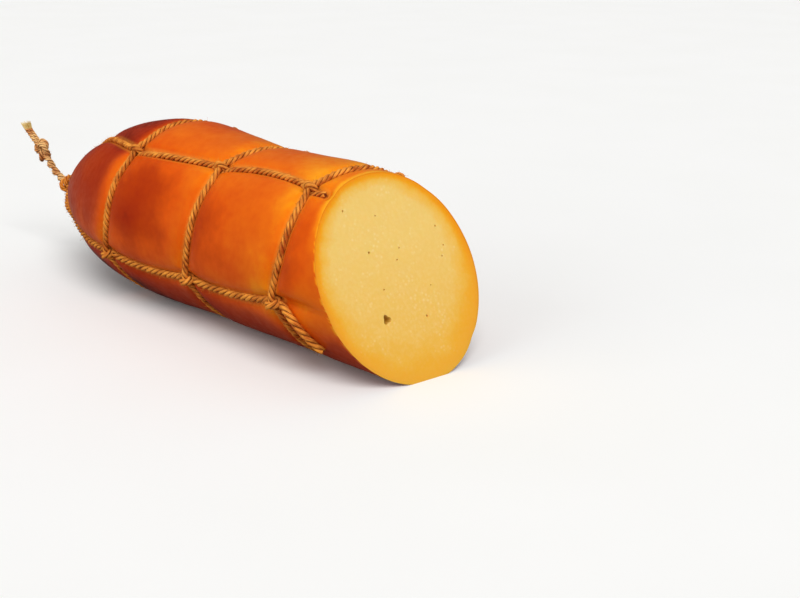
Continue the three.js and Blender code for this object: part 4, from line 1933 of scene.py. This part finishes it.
    def build(self) -> list[bpy.types.Object]:
        """Make every hoop and strand as its own piece.

        Returns:
            The pieces.
        """
        made = []
        for hoop in Hoop:
            path = self.hoop_path(hoop)
            made.append(self.piece(f"hoop_{hoop.name.lower()}", path, True, 31 + hoop.value))
        for strand in Strand:
            path = even_path(self.strand_path(strand), 0.8)
            made.append(self.piece(f"strand_{strand.name.lower()}", path, False, 41 + strand.value))
        return made

    def piece(self, node: str, path: Array, cyclic: bool, seed: int) -> bpy.types.Object:
        """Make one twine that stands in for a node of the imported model.

        Args:
            node: name of that node.
            path: points of the twine's middle line, in millimetres.
            cyclic: whether it closes on itself.
            seed: seed of its stray fibres.

        Returns:
            The piece.
        """
        lay = self.thick_lay if node.endswith(Strand.NEAR_LOWER.name.lower()) else self.lay
        mesh = twine_mesh(node + "_twine", path, cyclic, lay, self.tree, self.material, seed)
        made = join_meshes(node + "_twine", [mesh])
        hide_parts(node)
        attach(made, "root")
        return made


@dataclass(frozen=True)
class Winding:
    """Closed overhand winding that a knot is drawn tight into.

    Attributes:
        centre: middle of the knot.
        axis: direction that the winding goes round.
        side: direction that it is stretched along.
        stretch: how much longer it is in that direction.
        big: radius of the ring.
        small: how far the winding weaves in and out of the ring.
    """

    centre: tuple[float, float, float]
    axis: tuple[float, float, float]
    side: tuple[float, float, float]
    stretch: float
    big: float = 4.1
    small: float = 2.0

    def path(self, turn: float = 0.0, apart: float = 0.0, count: int = 150) -> Array:
        """Middle line of one twine of the knot.

        Args:
            turn: angle of this twine round the doubled strand.
            apart: its distance from the doubled strand's middle.
            count: number of points.

        Returns:
            Points of a closed path.
        """
        w = np.array(self.axis) / np.linalg.norm(self.axis)
        u = np.array(self.side) - np.dot(self.side, w) * w
        u /= np.linalg.norm(u)
        v = np.cross(w, u)
        t = np.linspace(0, 2 * np.pi, count, endpoint=False)
        spin = 3 * t + turn
        ring = self.big + self.small * np.cos(3 * t) + apart * np.cos(spin)
        lift = self.small * np.sin(3 * t) + apart * np.sin(spin)
        flat = np.outer(self.stretch * ring * np.cos(2 * t), u) + np.outer(ring * np.sin(2 * t), v)
        return np.array(self.centre) + flat + np.outer(lift, w)


@dataclass
class CrownKnot:
    """Knot at the tip, where the four strands are gathered.

    Attributes:
        tree: tree that lays up its twine.
        material: its material.
        winding: how it is wound.
        lay: how its twine is laid up.
    """

    tree: PliedTwineTree
    material: bpy.types.Material
    winding: Winding = Winding((-299.0, -6.0, 58.0), (-1.0, 0.0, 0.05), (0.0, 0.2, 1.0), 1.05)
    lay: TwineLay = TwineLay(ply_radius=0.9, offset=0.9, lay=-12.0, step=0.6)

    def build(self) -> bpy.types.Object:
        """Make the knot as one piece.

        Returns:
            The piece.
        """
        path = self.winding.path()
        mesh = twine_mesh("crown_knot_twine", path, True, self.lay, self.tree, self.material, 51)
        made = join_meshes("crown_knot_twine", [mesh])
        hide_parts("crown_knot")
        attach(made, "root")
        return made


@dataclass
class HangingTail:
    """Doubled twine that the log hung by, with its knot and frayed ends.

    Attributes:
        tree: tree that lays up the twines.
        fray: tree that fans out the frayed ends.
        twine: material of the twines.
        straw: material of the loose fibres.
        start: where the tail leaves the crown knot.
        bend: point that it passes on its way to its own knot.
        knot: middle of that knot.
        tip: where it ends.
        diameter: width of the doubled twine; not used.
        pair_radius: distance of either twine from the tail's middle line.
        pair_lay: length in which they wind round each other once.
        lay: how each is laid up.
        winding: how the knot is wound.
        knot_apart: distance of either twine from the knot's middle line.
        fibres: number of fibres of a frayed end.
        fibre_radius: radius of a fibre.
        fray_length: length of the longest ones.
        fray_overlap: how far they reach back into their twine.
        fray_root: radius of the frayed end where it starts.
        fray_spread: how much wider it gets.
        fray_curl: how far the fibres curl aside.
        fray_towards: direction of the first frayed end; the second mirrors it.
    """

    tree: PliedTwineTree
    fray: FrayTree
    twine: bpy.types.Material
    straw: bpy.types.Material
    start: tuple[float, float, float] = (-301.5, -6.2, 58.6)
    bend: tuple[float, float, float] = (-317.5, -7.0, 66.0)
    knot: tuple[float, float, float] = (-336.5, -7.0, 81.5)
    tip: tuple[float, float, float] = (-358.5, -7.0, 96.5)
    diameter: float = 6.6
    pair_radius: float = 1.65
    pair_lay: float = 18.0
    lay: TwineLay = TwineLay(ply_radius=0.9, offset=0.85, lay=-11.0, step=0.6, hair_length=2.4)
    winding: Winding = Winding((-336.5, -7.0, 81.5), (0.1, 1.0, 0.0), (-0.66, 0.0, 0.75), 1.1, 4.7, 2.2)
    knot_apart: float = 1.2
    fibres: int = 120
    fibre_radius: float = 0.15
    fray_length: float = 8.0
    fray_overlap: float = 1.5
    fray_root: float = 1.35
    fray_spread: float = 1.1
    fray_curl: float = 1.0
    fray_towards: tuple[float, float, float] = (-0.62, 0.1, 0.78)

    def middle(self) -> Array:
        """Middle line of the tail, from the crown to the tip."""
        return even_path(np.array([self.start, self.bend, self.knot, self.tip]), 0.5)

    def pair(self, side: float) -> Array:
        """Middle line of one of the two twines, wound round the other.

        Args:
            side: 1 for the first twine, -1 for the second.

        Returns:
            Its points, in millimetres.
        """
        middle = self.middle()
        tangent = np.gradient(middle, axis=0)
        tangent /= np.linalg.norm(tangent, axis=1, keepdims=True)
        across = np.tile([0.0, 1.0, 0.0], (len(middle), 1))
        up = np.cross(tangent, across)
        run = np.concatenate([[0], np.cumsum(np.linalg.norm(np.diff(middle, axis=0), axis=1))])
        # past the knot the two ends lie side by side
        knot_at = run[np.argmin(np.linalg.norm(middle - self.knot, axis=1))]
        turn = -2 * np.pi * np.minimum(run - knot_at, 0) / self.pair_lay
        around = np.cos(turn)[:, None] * across + np.sin(turn)[:, None] * up
        return middle + side * self.pair_radius * around

    def build(self) -> list[bpy.types.Object]:
        """Make the cord, its knot and its two frayed ends.

        Returns:
            The four pieces.
        """
        cord = join_meshes("tail_twine", [
            twine_mesh(f"tail_twine_{i}", self.pair(side), False, self.lay, self.tree, self.twine, 61 + i)
            for i, side in enumerate((1.0, -1.0))
        ])
        knot = join_meshes("tail_knot_twine", [
            twine_mesh(
                f"tail_knot_twine_{i}", self.winding.path(turn, self.knot_apart), True, self.lay, self.tree,
                self.twine, 71 + i,
            )
            for i, turn in enumerate((0.0, math.pi))
        ])
        tufts = [self.tuft(i + 1, side) for i, side in enumerate((1.0, -1.0))]
        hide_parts("tail_cord", "tail_end_1", "tail_end_2")
        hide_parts("tail_knot")
        for piece in (cord, knot, *tufts):
            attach(piece, "root")
        middle = self.middle()
        return [cord, knot, *tufts]

    def tuft(self, number: int, side: float) -> bpy.types.Object:
        """Make the frayed brush at the end of one twine.

        Args:
            number: number of the brush, from 1.
            side: 1 for the first twine, -1 for the second.

        Returns:
            The piece.
        """
        root = self.pair(side)[-1]
        direction = np.array(self.fray_towards) * (1.0, side, 1.0)
        direction /= np.linalg.norm(direction)
        path = root + np.outer(np.linspace(-self.fray_overlap, self.fray_length, 8), direction)
        mesh = grow_on_curve(f"tail_fray_{number}", path, False, self.fray, {
            "Fibres": self.fibres, "Root Radius": self.fray_root * MM, "Spread": self.fray_spread * MM,
            "Curl": self.fray_curl * MM, "Fibre Radius": self.fibre_radius * MM, "Seed": 80 + number,
            "Material": self.straw,
        })
        made = join_meshes(f"tail_fray_{number}", [mesh])
        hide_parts(f"tail_tuft_{number}")
        return made


# -------------------------------------------------------------------- stage


@dataclass(frozen=True)
class StudioCamera:
    """Camera that looks at the log from in front of the cut face.

    Attributes:
        place: where it stands, in millimetres.
        target: point that it looks at.
        lens: focal length in millimetres.
    """

    place: tuple[float, float, float] = (656.3, -524.0, 283.9)
    target: tuple[float, float, float] = (98.7, 0.0, 46.2)
    lens: float = 57.75

    def build(self) -> None:
        """Make the camera and set it as the scene's."""
        data = bpy.data.cameras.new("studio_camera")
        data.lens, data.sensor_width = self.lens, 36.0
        data.clip_start, data.clip_end = 0.02, 60.0
        camera = bpy.data.objects.new("studio_camera", data)
        bpy.context.scene.collection.objects.link(camera)
        camera.location = Vector(self.place) * MM
        look = (Vector(self.target) - Vector(self.place)).normalized()
        camera.rotation_mode = "QUATERNION"
        camera.rotation_quaternion = look.to_track_quat("-Z", "Y")
        bpy.context.scene.camera = camera


@dataclass(frozen=True)
class SoftLamp:
    """A very wide soft lamp, far enough away to light everything evenly.

    Attributes:
        name: name of the lamp.
        towards: direction from the log to the lamp.
        strength: its strength in watts per square metre.
        spread: its apparent width in degrees.
        tint: sRGB hex colour.
    """

    name: str
    towards: tuple[float, float, float]
    strength: float
    spread: float
    tint: str = "FFFFFF"

    def build(self) -> None:
        """Make the lamp."""
        data = bpy.data.lights.new(self.name, "SUN")
        data.energy, data.angle, data.color = self.strength, math.radians(self.spread), srgb(self.tint)[:3]
        lamp = bpy.data.objects.new(self.name, data)
        bpy.context.scene.collection.objects.link(lamp)
        lamp.location = Vector(self.towards)
        lamp.rotation_mode = "QUATERNION"
        lamp.rotation_quaternion = (-Vector(self.towards)).to_track_quat("-Z", "Y")


@dataclass
class Studio:
    """Pale floor, soft lamps and a plain white surround.

    Attributes:
        floor: finish of the floor.
        lamps: the lamps.
        surround: how brightly the surround lights the log.
        reflected: how brightly it shines in the log's skin.
        backdrop: how bright it is to the camera.
        half_width: half width of the floor in metres.
    """

    floor: PaintedFloor = PaintedFloor()
    lamps: tuple[SoftLamp, ...] = (
        SoftLamp("key_lamp", (1.0, -0.55, 1.25), 2.2, 38.0),
        SoftLamp("fill_lamp", (-0.15, -1.2, 0.4), 0.7, 50.0),
        SoftLamp("low_lamp", (-0.9, -1.0, -0.35), 0.55, 50.0, "FFC890"),
    )
    surround: float = 0.42
    reflected: float = 0.12
    backdrop: float = 0.97
    half_width: float = 12.0

    def build(self) -> None:
        """Make the floor, the lamps and the surround."""
        h = self.half_width / MM
        corners = np.array([(-h, -h, 0), (h, -h, 0), (h, h, 0), (-h, h, 0)])
        floor = mesh_object("floor", corners, [(0, 1, 2, 3)], [self.floor.build()])
        for lamp in self.lamps:
            lamp.build()
        world = bpy.data.worlds.new("white_surround")
        world.use_nodes = True
        world.node_tree.nodes.clear()
        node = partial(add_node, world.node_tree)
        # the backdrop is seen as white as the floor, lights the log less and
        # hardly shines in its skin
        rays = node("LightPath").outputs
        matt = node("MapRange", (rays["Is Glossy Ray"], 0.0, 1.0, self.surround, self.reflected))
        level = node("Mix", (rays["Is Camera Ray"], matt, self.backdrop), data_type="FLOAT")
        shade = node("Background", {"Color": srgb("FFFFFF"), "Strength": level})
        node("OutputWorld", {"Surface": shade})
        bpy.context.scene.world = world
        bpy.context.scene.view_settings.view_transform = "Standard"


# --------------------------------------------------------------------- main


def log_piece(piece: bpy.types.Object) -> None:
    """Log a piece's name and triangle count."""
    count = sum(len(p.vertices) - 2 for p in piece.data.polygons)
    LOG.info("%s: %d triangles", piece.name, count)


def main() -> None:
    """Build the camera, the tail, the log, its net and the studio."""
    StudioCamera().build()
    twine_tree, fray_tree = PliedTwineTree(), FrayTree()
    # each twine's hollow colour is painted shade between its plies
    net_twine = PlantTwine("smoked_net_twine", dark="A6460C", light="F6A43E", hollow="662406").build()
    tail_twine = PlantTwine(
        "raw_jute_twine", dark="B8601E", light="FFD48E", hollow="5A2206", shade=(0.66, 1.0)
    ).build()
    straw = PlantTwine("frayed_jute_fibre", dark="B88E3C", light="FFE6A0", hollow="6A4A20").build()
    shape = LogShape()

    for piece in HangingTail(twine_tree, fray_tree, tail_twine, straw).build():
        log_piece(piece)
    log_piece(CrownKnot(twine_tree, net_twine).build())
    for piece in TwineNet(shape, twine_tree, net_twine).build():
        log_piece(piece)
    log_piece(CheeseLog(shape).build())
    Studio().build()


if __name__ == "__main__":
    main()
